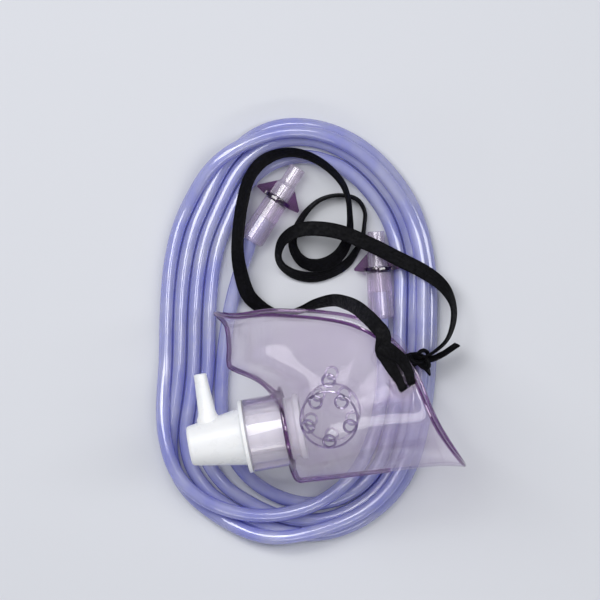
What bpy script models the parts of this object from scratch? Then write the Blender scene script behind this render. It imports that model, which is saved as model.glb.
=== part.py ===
"""Oxygen face mask set: a clear mask lying on its cheek on its coiled supply tubing.

Metres, +Z up. The origin is on the surface that the set lies on, under the middle of the mask, strap
and near connector. The mask is drawn in a frame of its own, with X to the wearer's side, Y forward and
Z up the face, and is then laid on its side by an empty. Offsets along the port's axis count outward
from the lip of its collar.
"""

import math

import bmesh
import bpy
import numpy as np
from mathutils import Matrix, Vector

GAP = 0.0003
STRAIGHT = math.radians(90)

# The mask's shell, in its own frame.
MASK_HALF_LENGTH = 0.0626
MASK_HALF_WIDTH = 0.0305
FRONT_REACH = 0.0423
CHEEK_SWEEP = 0.0282
SHELL_WALL = 0.0012

# The port: its lip in the mask's middle plane, and how far its axis leans forward from straight up.
PORT_LIP_FORWARD = 0.0377
PORT_LIP_UP = 0.0232
PORT_LEAN = math.radians(41.6)
PORT_DEPTH = 0.0170
PORT_BORE_RADIUS = 0.0129
COLLAR_WALL = 0.0028

# The vents of one cheek. The same cutters pass through both cheeks.
VENT_FORWARD = 0.0119
VENT_UP = -0.0025
VENT_CIRCLE_RADIUS = 0.0094
VENT_RADIUS = 0.00205
VENT_COUNT = 5
VENT_FIRST_ANGLE = math.radians(39.5)
UPPER_VENT_FORWARD = -0.0024
UPPER_VENT_UP = 0.0063

# The strap ears, one on each cheek.
EAR_FORWARD = -0.0215
EAR_UP = -0.0155
EAR_LEAN = math.radians(24)
EAR_LENGTH = 0.0235
EAR_WIDTH = 0.0135
EAR_THICKNESS = 0.0024
EAR_SEAT = 0.0312
EAR_CORNER = 0.0042
SLOT_WIDTH = 0.0030
SLOT_END_MARGIN = 0.0038

# The strap.
BAND_WIDTH = 0.0065
BAND_THICKNESS = 0.0012
BAND_EDGE = 0.00035
BAND_STEP = 0.0034
KNOT_LENGTH = 0.0036
KNOT_WIDTH = 0.0030
KNOT_HEIGHT = 0.0022
KNOT_DROP = 0.0054
KNOT_BACK = 0.0045
LEVEL_LEAST = 0.25

# The swivel connector.
SWIVEL_WALL = 0.0016
SWIVEL_CLEARANCE = 0.0003
CONE_LENGTH = 0.0255
CONE_END_RADIUS = 0.0084
CONE_EDGE = 0.0016
STOP_FLANGE_RADIUS = 0.0158
STOP_FLANGE_THICKNESS = 0.0017
SNAP_RIDGE_REACH = 0.0010
SNAP_RIDGE_LENGTH = 0.0014
END_FLANGE_RADIUS = 0.0141
END_FLANGE_LENGTH = 0.0030
TUBE_BEYOND_PORT = 0.0070
STEM_OFFSET = 0.0154
STEM_REACH = 0.0297
STEM_TIP_RADIUS = 0.0027
STEM_BASE_RADIUS = 0.0037
STEM_BORE_RADIUS = 0.0015

# The tubing and its coil. The outline is the coil's outer edge in plan, in millimetres, from the right
# hand side round by the far end, the left and the near end.
TUBE_RADIUS = 0.0030
COIL_OUTLINE_MM = (
    (49.0, 2.0), (48.6, 19.0), (45.6, 35.5), (40.6, 49.5), (32.6, 61.5), (23.6, 71.4),
    (12.5, 79.2), (0.0, 84.3), (-12.2, 85.8), (-24.6, 84.3), (-36.6, 78.9), (-46.0, 71.8),
    (-53.8, 62.5), (-61.0, 50.8), (-66.3, 39.2), (-69.4, 26.5), (-71.4, 11.0), (-72.2, -6.5),
    (-72.4, -24.0), (-72.4, -41.0), (-71.2, -57.0), (-67.6, -70.0), (-59.8, -81.0), (-47.5, -90.6),
    (-32.2, -97.6), (-15.6, -100.2), (-0.6, -98.8), (12.8, -94.4), (24.4, -87.4), (33.4, -78.6),
    (39.6, -68.8), (43.4, -57.6), (46.0, -45.4), (47.8, -31.5), (48.8, -15.0),
)
COIL_NARROW = 3.05
COIL_WIDE = 4.15
COIL_EDGE = 0.0024
COIL_STATIONS = 84
WIDENS_FROM, WIDE_FROM, WIDE_TO, NARROW_FROM = 0.24, 0.36, 0.56, 0.80
CROSSING_START = 0.585
CROSSING_END = 0.845
FAR_LEAD_LEAVES = 0.945
NEAR_LEAD_STEP = 0.006
FAR_LEAD_STEP = 0.010

# The tube connectors. Offsets along one count from the middle of its wings, toward the barrel.
BARREL_RADIUS = 0.0036
BARREL_END = 0.0160
BARREL_BORE_RADIUS = 0.0022
BODY_RADIUS = 0.0045
BODY_END = 0.0067
HUB_RADIUS = 0.0062
HUB_START = -0.0014
HUB_END = 0.0006
CUFF_RADIUS = 0.0052
CUFF_END_RADIUS = 0.0057
CUFF_LENGTH = 0.0220
CUFF_EDGE = 0.0012
CUFF_SOCKET_DEPTH = 0.0120
WING_TIP_RADIUS = 0.0106
WING_THICKNESS = 0.0014
WING_TIP_LENGTH = 0.0011
NEAR_HUB = Vector((-0.0203, 0.0504))
NEAR_HEADING = math.radians(57.0)
NEAR_ROLL = 0.0
FAR_HUB = Vector((0.0232, 0.0202))
FAR_HEADING = math.radians(93.6)
FAR_ROLL = math.radians(-12.0)

# How the mask lies: the height of its middle plane and its turn in plan, and how far its front dips.
MASK_CENTRE = Vector((0.00625, -0.0317))
MASK_TURN = math.radians(148.6)
MASK_DIP = math.radians(3.0)
MASK_HEIGHT = 0.0423

TINTED_PVC = ((0.72, 0.62, 0.84, 1.0), 0.12)
TUBE_PVC = ((0.60, 0.62, 0.90, 1.0), 0.10)
WHITE_PLASTIC = ((0.90, 0.91, 0.92, 1.0), 0.38)
BLACK_ELASTIC = ((0.012, 0.012, 0.014, 1.0), 0.85)

# The strap's route between its two knots, in millimetres, with its tilt from flat in degrees.
STRAP_ROUTE_MM = (
    (24.4, -8.4, 79.6, 0), (21.4, -4.4, 77.6, 4), (17.8, -0.6, 69.0, 10), (13.6, 3.0, 54.0, 18),
    (9.0, 5.2, 38.0, 26), (3.6, 6.2, 22.0, 36), (-3.4, 4.8, 10.6, 48), (-10.6, 2.0, 6.0, 64),
    (-17.6, 0.4, 3.7, 74), (-24.5, 1.7, 3.2, 46), (-29.9, 5.0, 4.0, 22), (-33.7, 9.6, 7.0, 8),
    (-36.5, 18.5, 9.8, 0), (-37.8, 27.9, 12.9, 0), (-37.2, 38.7, 11.2, 0), (-35.6, 49.4, 8.2, 0),
    (-32.7, 59.3, 8.2, 20), (-26.7, 66.7, 9.0, 35), (-17.6, 70.3, 9.8, 50), (-8.6, 69.4, 10.2, 55),
    (0.0, 64.9, 10.4, 60), (6.9, 58.0, 10.6, 65), (9.9, 51.2, 10.9, 72), (10.8, 43.9, 10.8, 72),
    (10.8, 36.5, 10.0, 62), (9.0, 30.5, 9.0, 45), (5.6, 25.4, 8.4, 34), (-0.4, 21.9, 8.0, 30),
    (-7.3, 21.9, 7.4, 38), (-12.0, 25.6, 6.4, 50), (-14.0, 31.8, 5.0, 58), (-11.6, 39.1, 4.0, 64),
    (-7.3, 45.6, 3.6, 72), (-1.3, 50.3, 3.6, 78), (6.5, 52.0, 3.6, 80), (13.8, 50.3, 3.6, 78),
    (17.3, 45.1, 3.6, 80), (17.2, 39.1, 3.6, 80), (16.2, 33.1, 3.6, 76), (13.4, 27.1, 3.4, 62),
    (9.5, 21.5, 3.2, 45), (3.0, 17.2, 3.0, 34), (-4.7, 15.0, 3.0, 30), (-12.5, 16.3, 4.0, 42),
    (-18.1, 20.2, 6.0, 60), (-20.2, 25.8, 8.4, 66), (-18.5, 31.8, 11.0, 50), (-13.3, 35.9, 13.4, 28),
    (-5.6, 37.4, 15.4, 8), (6.5, 35.8, 16.4, 0), (19.4, 30.5, 16.0, 0), (32.2, 24.1, 14.0, 0),
    (43.9, 18.1, 11.4, 14), (51.6, 12.0, 10.4, 38), (55.5, 4.7, 10.2, 62), (55.7, -3.0, 10.0, 66),
    (53.0, -10.4, 9.8, 58), (47.6, -15.0, 9.2, 30),
)
OVER_NEAR_EAR_MM = ((4.0, 0.0, 2.4), (0.5, 0.0, 2.9), (-3.0, 0.0, 3.4), (-6.5, 0.0, 3.9), (-10.0, 0.0, 4.3))
OVER_FAR_EAR_MM = ((2.9, -5.6, 3.7), (2.3, -3.4, 3.6), (2.9, -1.3, 3.0), (4.6, -0.3, 2.4))
FAR_KNOT_MM = (41.6, -18.0, 9.0)
LONG_TAIL_MM = ((41.6, -18.0, 9.0, 0), (47.0, -19.4, 8.6, 0), (52.4, -16.6, 8.2, 0), (57.4, -13.6, 7.8, 0))
SHORT_TAIL_MM = ((41.6, -18.0, 9.0, 0), (44.6, -21.4, 8.4, 0), (46.9, -24.4, 7.8, 0))

# The shell's section lines from the rim's edge to the port, as shares of half width, reach and half
# length. A forward share below zero is a share of the cheeks' sweep back.
SECTION_LINES = (
    (
        (0.00, 0.00, 1.00), (0.00, 0.05, 0.89), (0.00, 0.21, 0.80),
        (0.00, 0.36, 0.74), (0.00, 0.385, 0.69), (0.00, 0.35, 0.52),
    ),
    (
        (0.40, -0.12, 0.87), (0.33, -0.05, 0.82), (0.29, 0.15, 0.75),
        (0.27, 0.30, 0.69), (0.29, 0.32, 0.62), (0.33, 0.35, 0.46),
    ),
    (
        (0.78, -0.52, 0.62), (0.70, -0.46, 0.60), (0.66, -0.06, 0.56),
        (0.58, 0.16, 0.52), (0.51, 0.25, 0.44), (0.46, 0.40, 0.33),
    ),
    (
        (1.09, -1.00, 0.14), (1.00, -0.95, 0.135), (0.97, -0.50, 0.13),
        (0.92, 0.00, 0.12), (0.83, 0.20, 0.13), (0.64, 0.44, 0.16),
    ),
    (
        (1.07, -0.90, -0.28), (0.98, -0.84, -0.27), (0.96, -0.40, -0.24),
        (0.90, 0.08, -0.18), (0.76, 0.42, -0.09), (0.59, 0.64, 0.02),
    ),
    (
        (0.72, -0.30, -0.70), (0.64, -0.23, -0.68), (0.61, 0.16, -0.52),
        (0.56, 0.52, -0.31), (0.44, 0.82, -0.12), (0.35, 0.89, -0.02),
    ),
    (
        (0.00, 0.00, -1.00), (0.00, 0.16, -0.82), (0.00, 0.51, -0.52),
        (0.00, 0.93, -0.155), (0.00, 1.00, -0.085), (0.00, 0.96, -0.03),
    ),
)
ACROSS_STEPS = 4
ALONG_STEPS = 3


def collection(name):
    made = bpy.data.collections.new(name)
    bpy.context.scene.collection.children.link(made)
    return made


def material(name, colour, roughness, transmission=0.0):
    made = bpy.data.materials.new(name)
    made.use_nodes = True
    shader = made.node_tree.nodes["Principled BSDF"]
    shader.inputs["Base Color"].default_value = colour
    shader.inputs["Roughness"].default_value = roughness
    shader.inputs["Transmission Weight"].default_value = transmission
    made.diffuse_color = colour
    return made


def object_from(mesh_builder, name, where, surface=None):
    mesh = bpy.data.meshes.new(name)
    mesh_builder.to_mesh(mesh)
    mesh_builder.free()
    made = bpy.data.objects.new(name, mesh)
    where.objects.link(made)
    if surface:
        mesh.materials.append(surface)
    return made


def cutter(made, where):
    """Marks an object as a helper that only shapes others."""
    for held in list(made.users_collection):
        held.objects.unlink(made)
    where.objects.link(made)
    made.hide_render = True
    made.display_type = "WIRE"
    return made


def boolean(target, tool, operation):
    modifier = target.modifiers.new(operation.title(), "BOOLEAN")
    modifier.operation = operation
    modifier.object = tool
    modifier.solver = "EXACT"


def smooth(made, angle=math.radians(40)):
    made.data.shade_smooth()
    made.data.set_sharp_from_angle(angle=angle)


def spline(points, steps, before=None, after=None):
    """Points on a Catmull-Rom curve through the given ones, `steps` to each span."""
    points = np.asarray(points, float)
    first = 2 * points[0] - points[1] if before is None else before
    last = 2 * points[-1] - points[-2] if after is None else after
    held = np.vstack([first, points, last])
    found = []
    for i in range(1, len(held) - 2):
        a, b, c, d = held[i - 1 : i + 3]
        for step in range(steps):
            t = step / steps
            squared = (2 * a - 5 * b + 4 * c - d) * t**2
            cubed = (3 * b - a - 3 * c + d) * t**3
            found.append(0.5 * (2 * b + (c - a) * t + squared + cubed))
    found.append(points[-1])
    return np.array(found)


def evenly(points, spacing):
    """The points of a polyline, read again at an even spacing."""
    lengths = np.concatenate([[0.0], np.cumsum(np.linalg.norm(np.diff(points, axis=0), axis=1))])
    count = max(2, round(lengths[-1] / spacing) + 1)
    wanted = np.linspace(0.0, lengths[-1], count)
    return np.column_stack([np.interp(wanted, lengths, points[:, k]) for k in range(points.shape[1])])


def loft(rings, closed_along=False):
    """A closed tube of quads through rings of points, with flat ends unless it closes on itself."""
    builder = bmesh.new()
    rows = [[builder.verts.new(point) for point in ring] for ring in rings]
    around = len(rows[0])
    last = len(rows) if closed_along else len(rows) - 1
    for i in range(last):
        near, far = rows[i], rows[(i + 1) % len(rows)]
        for k in range(around):
            following = (k + 1) % around
            builder.faces.new((near[k], near[following], far[following], far[k]))
    if not closed_along:
        builder.faces.new(reversed(rows[0]))
        builder.faces.new(rows[-1])
    bmesh.ops.recalc_face_normals(builder, faces=builder.faces)
    return builder


def turned(name, profile, where, surface=None, steps=48):
    """A solid turned about Z from a closed outline of (radius, height) points."""
    builder = bmesh.new()
    corners = [builder.verts.new((radius, 0.0, height)) for radius, height in profile]
    for i, corner in enumerate(corners):
        builder.edges.new((corner, corners[(i + 1) % len(corners)]))
    made = object_from(builder, name, where, surface)
    screw = made.modifiers.new("Turn", "SCREW")
    screw.steps = steps
    screw.render_steps = steps
    screw.use_merge_vertices = True
    screw.merge_threshold = 0.00001
    screw.use_smooth_shade = True
    screw.use_normal_calculate = True
    return made


def tube(name, points, radius, where, surface):
    """A round tube along a polyline, as a curve with filled ends."""
    curve = bpy.data.curves.new(name, "CURVE")
    curve.dimensions = "3D"
    line = curve.splines.new("POLY")
    line.points.add(len(points) - 1)
    for point, place in zip(line.points, points):
        point.co = (*place, 1.0)
    curve.bevel_depth = radius
    curve.bevel_resolution = 3
    curve.use_fill_caps = True
    curve.materials.append(surface)
    made = bpy.data.objects.new(name, curve)
    where.objects.link(made)
    return made


def port_point(radius, angle, offset):
    """A point round the port's axis in the mask's frame. Angle 0 is on the nose's side."""
    axis = Vector((0.0, math.sin(PORT_LEAN), math.cos(PORT_LEAN)))
    nose_side = Vector((0.0, -math.cos(PORT_LEAN), math.sin(PORT_LEAN)))
    lip = Vector((0.0, PORT_LIP_FORWARD, PORT_LIP_UP))
    sideways = Vector((radius * math.sin(angle), 0, 0))
    return lip + axis * offset + nose_side * radius * math.cos(angle) + sideways


def shell_point(share):
    across, forward, up = share
    reach = FRONT_REACH if forward > 0 else CHEEK_SWEEP
    return (across * MASK_HALF_WIDTH, forward * reach, up * MASK_HALF_LENGTH)


def shell_grid():
    """Half the shell's middle surface: rows from the rim's edge to the port, columns from nose to chin."""
    meeting_radius = PORT_BORE_RADIUS + COLLAR_WALL / 2
    sections = []
    for i, shares in enumerate(SECTION_LINES):
        angle = math.pi * i / (len(SECTION_LINES) - 1)
        line = [shell_point(share) for share in shares]
        line.append(tuple(port_point(meeting_radius, angle, SHELL_WALL / 2 - PORT_DEPTH)))
        sections.append(spline(line, ALONG_STEPS))
    mirrored = np.array([-1.0, 1.0, 1.0])
    return np.array(
        [
            spline(row, ACROSS_STEPS, before=row[1] * mirrored, after=row[-2] * mirrored)
            for row in np.swapaxes(np.array(sections), 0, 1)
        ]
    )


def build_shell(parts, cutters, surface):
    builder = bmesh.new()
    rows = [[builder.verts.new(point) for point in row] for row in shell_grid()]
    for outer, inner in zip(rows, rows[1:]):
        for k in range(len(outer) - 1):
            builder.faces.new((outer[k], outer[k + 1], inner[k + 1], inner[k]))
    for row in rows:
        row[0].co.x = 0.0
        row[-1].co.x = 0.0
    shell = object_from(builder, "mask_shell", parts, surface)
    mirror = shell.modifiers.new("Mirror", "MIRROR")
    mirror.merge_threshold = 0.00002
    mirror.use_clip = True
    solidify = shell.modifiers.new("Wall", "SOLIDIFY")
    solidify.thickness = SHELL_WALL
    solidify.offset = 0.0
    solidify.use_even_offset = True

    outer = PORT_BORE_RADIUS + COLLAR_WALL
    profile = (
        (outer, -GAP),
        (outer, -PORT_DEPTH),
        (PORT_BORE_RADIUS, -PORT_DEPTH),
        (PORT_BORE_RADIUS, -GAP),
    )
    collar = cutter(turned("collar", profile, parts, steps=48), cutters)
    collar.location = port_point(0.0, 0.0, 0.0)
    collar.rotation_euler.x = -PORT_LEAN
    boolean(shell, collar, "UNION")

    for side in (-1, 1):
        ear = cutter(ear_plate(parts, side), cutters)
        boolean(shell, ear, "UNION")
        slot = cutter(ear_slot(parts, side), cutters)
        boolean(shell, slot, "DIFFERENCE")
    for place in vent_places():
        bpy.ops.mesh.primitive_cylinder_add(
            vertices=16, radius=VENT_RADIUS, depth=3 * MASK_HALF_WIDTH, rotation=(0.0, STRAIGHT, 0.0)
        )
        vent = cutter(bpy.context.object, cutters)
        vent.name = "vent_cutter"
        vent.location = (0.0, *place)
        boolean(shell, vent, "DIFFERENCE")
    return shell


def vent_places():
    """The vents' (forward, up) places in the mask's frame."""
    places = [(UPPER_VENT_FORWARD, UPPER_VENT_UP)]
    for i in range(VENT_COUNT):
        angle = VENT_FIRST_ANGLE + 2 * math.pi * i / VENT_COUNT
        places.append(
            (
                VENT_FORWARD + VENT_CIRCLE_RADIUS * math.cos(angle),
                VENT_UP + VENT_CIRCLE_RADIUS * math.sin(angle),
            )
        )
    return places


def ear_frame(side):
    """The frame of an ear: X along the rim toward the chin, Z off the cheek."""
    along = Vector((0.0, math.sin(EAR_LEAN), -math.cos(EAR_LEAN)))
    off = Vector((float(side), 0.0, 0.0))
    frame = Matrix.Identity(4)
    for k, column in enumerate((along, off.cross(along), off)):
        for row in range(3):
            frame[row][k] = column[row]
    frame.translation = Vector((side * EAR_SEAT, EAR_FORWARD, EAR_UP))
    return frame


def rounded_plate(name, length, width, thickness, corner, where):
    """A flat plate with round corners, in the plane of X and Y."""
    builder = bmesh.new()
    outline = []
    for quarter in range(4):
        centre_x = (length / 2 - corner) * (1, -1, -1, 1)[quarter]
        centre_y = (width / 2 - corner) * (1, 1, -1, -1)[quarter]
        for step in range(4):
            angle = STRAIGHT * (quarter + step / 3)
            outline.append((centre_x + corner * math.cos(angle), centre_y + corner * math.sin(angle)))
    rings = [[(x, y, z) for x, y in outline] for z in (-thickness / 2, thickness / 2)]
    builder.free()
    return object_from(loft(rings), name, where)


def ear_plate(where, side):
    plate = rounded_plate("ear", EAR_LENGTH, EAR_WIDTH, EAR_THICKNESS, EAR_CORNER, where)
    plate.matrix_world = ear_frame(side)
    return plate


def slot_place():
    """How far along the ear its slot lies."""
    return EAR_LENGTH / 2 - SLOT_END_MARGIN


def ear_slot(where, side):
    slot_length = BAND_WIDTH + 4 * GAP
    slot = rounded_plate("slot", SLOT_WIDTH, slot_length, 4 * EAR_THICKNESS, SLOT_WIDTH / 3, where)
    slot.matrix_world = ear_frame(side) @ Matrix.Translation((slot_place(), 0.0, 0.0))
    return slot


def build_swivel(parts, cutters, surface):
    """The swivel connector in its own frame: Z out along the port's axis, from the collar's lip."""
    tube_radius = PORT_BORE_RADIUS - SWIVEL_CLEARANCE
    bore = tube_radius - SWIVEL_WALL
    port_end = -PORT_DEPTH - GAP
    tube_end = -PORT_DEPTH - TUBE_BEYOND_PORT
    taper = (tube_radius - CONE_END_RADIUS) / CONE_LENGTH
    edge = [
        (
            CONE_END_RADIUS - CONE_EDGE * (1 - math.sin(STRAIGHT * step / 3)),
            CONE_LENGTH - CONE_EDGE * (1 - math.cos(STRAIGHT * step / 3)),
        )
        for step in range(4)
    ]
    roof = CONE_LENGTH - SWIVEL_WALL
    profile = [
        (0.0, CONE_LENGTH),
        *edge,
        (tube_radius - taper * STOP_FLANGE_THICKNESS, STOP_FLANGE_THICKNESS),
        (STOP_FLANGE_RADIUS, STOP_FLANGE_THICKNESS),
        (STOP_FLANGE_RADIUS, 0.0),
        (tube_radius, 0.0),
        (tube_radius, port_end),
        (tube_radius + SNAP_RIDGE_REACH, port_end - SNAP_RIDGE_LENGTH / 3),
        (tube_radius + SNAP_RIDGE_REACH, port_end - SNAP_RIDGE_LENGTH * 2 / 3),
        (tube_radius, port_end - SNAP_RIDGE_LENGTH),
        (tube_radius, tube_end + END_FLANGE_LENGTH),
        (END_FLANGE_RADIUS, tube_end + END_FLANGE_LENGTH * 0.7),
        (END_FLANGE_RADIUS, tube_end),
        (0.0, tube_end),
    ]
    body = turned("swivel_connector", profile, parts, surface)
    stem_length = STEM_REACH - CONE_END_RADIUS / 2
    bpy.ops.mesh.primitive_cone_add(
        vertices=24,
        radius1=STEM_BASE_RADIUS,
        radius2=STEM_TIP_RADIUS,
        depth=stem_length,
        rotation=(STRAIGHT, 0.0, 0.0),
    )
    stem = cutter(bpy.context.object, cutters)
    stem.name = "stem"
    stem.location = (0.0, -(STEM_REACH - stem_length / 2), STEM_OFFSET)
    boolean(body, stem, "UNION")
    hollow_profile = (
        (0.0, roof),
        (CONE_END_RADIUS - SWIVEL_WALL, roof),
        (bore, 0.0),
        (bore, tube_end - GAP),
        (0.0, tube_end - GAP),
    )
    hollow = cutter(turned("hollow", hollow_profile, parts), cutters)
    boolean(body, hollow, "DIFFERENCE")
    bpy.ops.mesh.primitive_cylinder_add(
        vertices=16, radius=STEM_BORE_RADIUS, depth=STEM_REACH + GAP, rotation=(STRAIGHT, 0.0, 0.0)
    )
    drill = cutter(bpy.context.object, cutters)
    drill.name = "stem_bore"
    drill.location = (0.0, -(STEM_REACH + GAP) / 2, STEM_OFFSET)
    boolean(body, drill, "DIFFERENCE")
    return body, (stem, hollow, drill)


def build_tube_connector(name, frame, parts, cutters, surface):
    """A tube connector: Z of its frame runs from cuff to barrel and X to the tip of a wing."""
    socket = TUBE_RADIUS + GAP
    socket_end = CUFF_SOCKET_DEPTH - CUFF_LENGTH
    profile = (
        (BARREL_RADIUS, BARREL_END),
        (BARREL_RADIUS, BODY_END),
        (BODY_RADIUS, BODY_END),
        (BODY_RADIUS, HUB_END),
        (HUB_RADIUS, HUB_END),
        (HUB_RADIUS, HUB_START),
        (CUFF_RADIUS, HUB_START),
        (CUFF_END_RADIUS, CUFF_EDGE - CUFF_LENGTH),
        (CUFF_END_RADIUS - CUFF_EDGE, -CUFF_LENGTH),
        (socket, -CUFF_LENGTH),
        (socket, socket_end),
        (BARREL_BORE_RADIUS, socket_end),
        (BARREL_BORE_RADIUS, BARREL_END),
    )
    body = turned(name, profile, parts, surface, steps=32)
    body.matrix_world = frame
    for side in (-1, 1):
        root = (BARREL_BORE_RADIUS + BARREL_RADIUS) / 2
        outline = (
            (side * root, BODY_END),
            (side * BODY_RADIUS, BODY_END),
            (side * WING_TIP_RADIUS, WING_TIP_LENGTH / 2),
            (side * WING_TIP_RADIUS, -WING_TIP_LENGTH / 2),
            (side * HUB_RADIUS, HUB_START),
            (side * root, HUB_START),
        )
        rings = [[(x, y, z) for x, z in outline] for y in (-WING_THICKNESS / 2, WING_THICKNESS / 2)]
        wing = cutter(object_from(loft(rings), "wing", parts), cutters)
        wing.matrix_world = frame
        boolean(body, wing, "UNION")
    return body


def connector_frame(hub_place, heading, roll):
    """Z along the heading and X level but for the roll, at the height where the hub rests on the surface."""
    level = Matrix.Translation((hub_place.x, hub_place.y, HUB_RADIUS))
    turn = Matrix.Rotation(heading - STRAIGHT, 4, "Z") @ Matrix.Rotation(-STRAIGHT, 4, "X")
    return level @ turn @ Matrix.Rotation(roll, 4, "Z")


def coil_outline():
    """The coil's outer edge as a closed curve, read at even distances: (points, outward directions)."""
    held = np.array(COIL_OUTLINE_MM) / 1000
    curve = spline(np.vstack([held, held[:1]]), 8, before=held[-1], after=held[1])
    places = evenly(curve, 0.0045)[:-1]
    along = np.roll(places, -1, axis=0) - np.roll(places, 1, axis=0)
    outward = np.column_stack([along[:, 1], -along[:, 0]])
    return places, outward / np.linalg.norm(outward, axis=1)[:, None]


def coil_point(outline, share, inset):
    """A point in plan `inset` inside the coil's outer edge, at a share of the way round it."""
    places, outward = outline
    at = (share % 1.0) * len(places)
    index, part = int(at), at % 1.0
    following = (index + 1) % len(places)
    place = places[index % len(places)] * (1 - part) + places[following] * part
    out = outward[index % len(places)] * (1 - part) + outward[following] * part
    return place - out / np.linalg.norm(out) * inset


def eased(share):
    share = min(1.0, max(0.0, share))
    return share * share * (3 - 2 * share)


def coil_width(share):
    """The coil's width in plan at a share of the way round it."""
    share = share % 1.0
    rise = eased((share - WIDENS_FROM) / (WIDE_FROM - WIDENS_FROM))
    fall = eased((share - WIDE_TO) / (NARROW_FROM - WIDE_TO))
    return 2 * TUBE_RADIUS * (COIL_NARROW + (COIL_WIDE - COIL_NARROW) * (rise - fall))


def build_coil(parts, outline, surface):
    """The outer shape of the coil's turns: a flat oval ring with round edges."""
    height = 2 * TUBE_RADIUS
    rings = []
    for i in range(COIL_STATIONS):
        share = i / COIL_STATIONS
        width = coil_width(share)
        ring = []
        for quarter in range(4):
            inset = width / 2 + (width / 2 - COIL_EDGE) * (1, -1, -1, 1)[quarter]
            up = height / 2 + (height / 2 - COIL_EDGE) * (1, 1, -1, -1)[quarter]
            for step in range(3):
                angle = STRAIGHT * (quarter + step / 2)
                place = coil_point(outline, share, inset + COIL_EDGE * math.cos(angle))
                ring.append((*place, up + COIL_EDGE * math.sin(angle)))
        rings.append(ring)
    return object_from(loft(rings, closed_along=True), "tubing_coil", parts, surface)


def axis_point(frame, offset):
    return tuple(frame @ Vector((0.0, 0.0, offset)))


def near_lead_route(frame, outline):
    """From inside the near connector's cuff to the coil's inner edge."""
    route = [axis_point(frame, CUFF_SOCKET_DEPTH - CUFF_LENGTH - GAP)]
    route += [axis_point(frame, -CUFF_LENGTH), axis_point(frame, -CUFF_LENGTH - 0.004)]
    route.append((-0.0392, 0.0225, 0.0040))
    for share, spare in ((0.432, 0.0022), (0.442, 0.0008), (0.452, 0.0)):
        inset = coil_width(share) + TUBE_RADIUS + GAP + spare
        route.append((*coil_point(outline, share, inset), TUBE_RADIUS))
    return route


def far_lead_route(frame, outline):
    """From the coil's top, across its turns, down inside it and along it to the far connector's cuff."""
    on_top = 3 * TUBE_RADIUS + GAP
    count = 16
    route = []
    for i in range(count + 1):
        part = i / count
        share = CROSSING_START + (CROSSING_END - CROSSING_START) * part
        inside = coil_width(share) + TUBE_RADIUS + GAP
        inset = TUBE_RADIUS + (inside - TUBE_RADIUS) * eased(part)
        height = on_top + (TUBE_RADIUS - on_top) * eased((part - 0.84) / 0.16)
        route.append((*coil_point(outline, share, inset), height))
    for i in range(1, 5):
        share = CROSSING_END + (FAR_LEAD_LEAVES - CROSSING_END) * i / 4
        route.append((*coil_point(outline, share, coil_width(share) + TUBE_RADIUS + GAP), TUBE_RADIUS))
    route += [axis_point(frame, -CUFF_LENGTH - 0.004), axis_point(frame, -CUFF_LENGTH)]
    route.append(axis_point(frame, CUFF_SOCKET_DEPTH - CUFF_LENGTH - GAP))
    return route


def band_rings(places):
    """The strap's sections at rows of (x, y, z, tilt): flat at tilt 0, its width level across the run."""
    points = places[:, :3]
    half_width, half_thickness = BAND_WIDTH / 2, BAND_THICKNESS / 2
    outline = []
    for quarter in range(4):
        x_sign, y_sign = ((1, 1), (-1, 1), (-1, -1), (1, -1))[quarter]
        corner = (x_sign * half_width, y_sign * half_thickness)
        flat = (corner[0], corner[1] - y_sign * BAND_EDGE)
        steep = (corner[0] - x_sign * BAND_EDGE, corner[1])
        outline += (flat, steep) if quarter % 2 == 0 else (steep, flat)
    level = None
    rings = []
    for i, place in enumerate(points):
        before, after = points[max(0, i - 1)], points[min(len(points) - 1, i + 1)]
        run = Vector(after - before).normalized()
        across = Vector((run.y, -run.x, 0.0))
        if level is None or across.length > LEVEL_LEAST:
            across.normalize()
            level = across if level is None or across.dot(level) > 0 else -across
        width_way = (level - run * level.dot(run)).normalized()
        face_way = width_way.cross(run)
        if face_way.z < 0:
            face_way = -face_way
        tilt = places[i, 3]
        along = width_way * math.cos(tilt) + face_way * math.sin(tilt)
        off = along.cross(run)
        rings.append([tuple(Vector(place) + along * x + off * y) for x, y in outline])
    return rings


def route_rows(rows):
    """Rows of millimetres and degrees as metres and radians."""
    return np.array([(x / 1000, y / 1000, z / 1000, math.radians(tilt)) for x, y, z, tilt in rows])


def slot_pass(frame):
    """The strap from its knot under the wall up through an ear's slot: (x, y, z, tilt) rows."""
    edge = slot_place() - SLOT_WIDTH / 2
    spare = GAP * 1.6 + BAND_THICKNESS / 2
    top = EAR_THICKNESS / 2
    under = -EAR_THICKNESS / 2 - 0.0024
    slant = math.sqrt(0.5) * spare
    rows = (
        (-0.0075, 0.0006, under - 0.0034),
        (-0.0045, 0.0004, under - 0.0030),
        (-0.0015, 0.0002, under - 0.0025),
        (0.0020, 0.0, under - 0.0015),
        (0.0048, 0.0, under - spare),
        (edge, 0.0, under - spare),
        (edge + slant, 0.0, under - slant),
        (edge + spare, 0.0, under),
        (edge + spare, 0.0, 0.0),
        (edge + spare, 0.0, top),
        (edge + slant, 0.0, top + slant),
        (edge, 0.0, top + spare),
    )
    return ear_rows(frame, rows)


def ear_rows(frame, rows):
    return np.array([(*(frame @ Vector(row)), 0.0) for row in rows])


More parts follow.
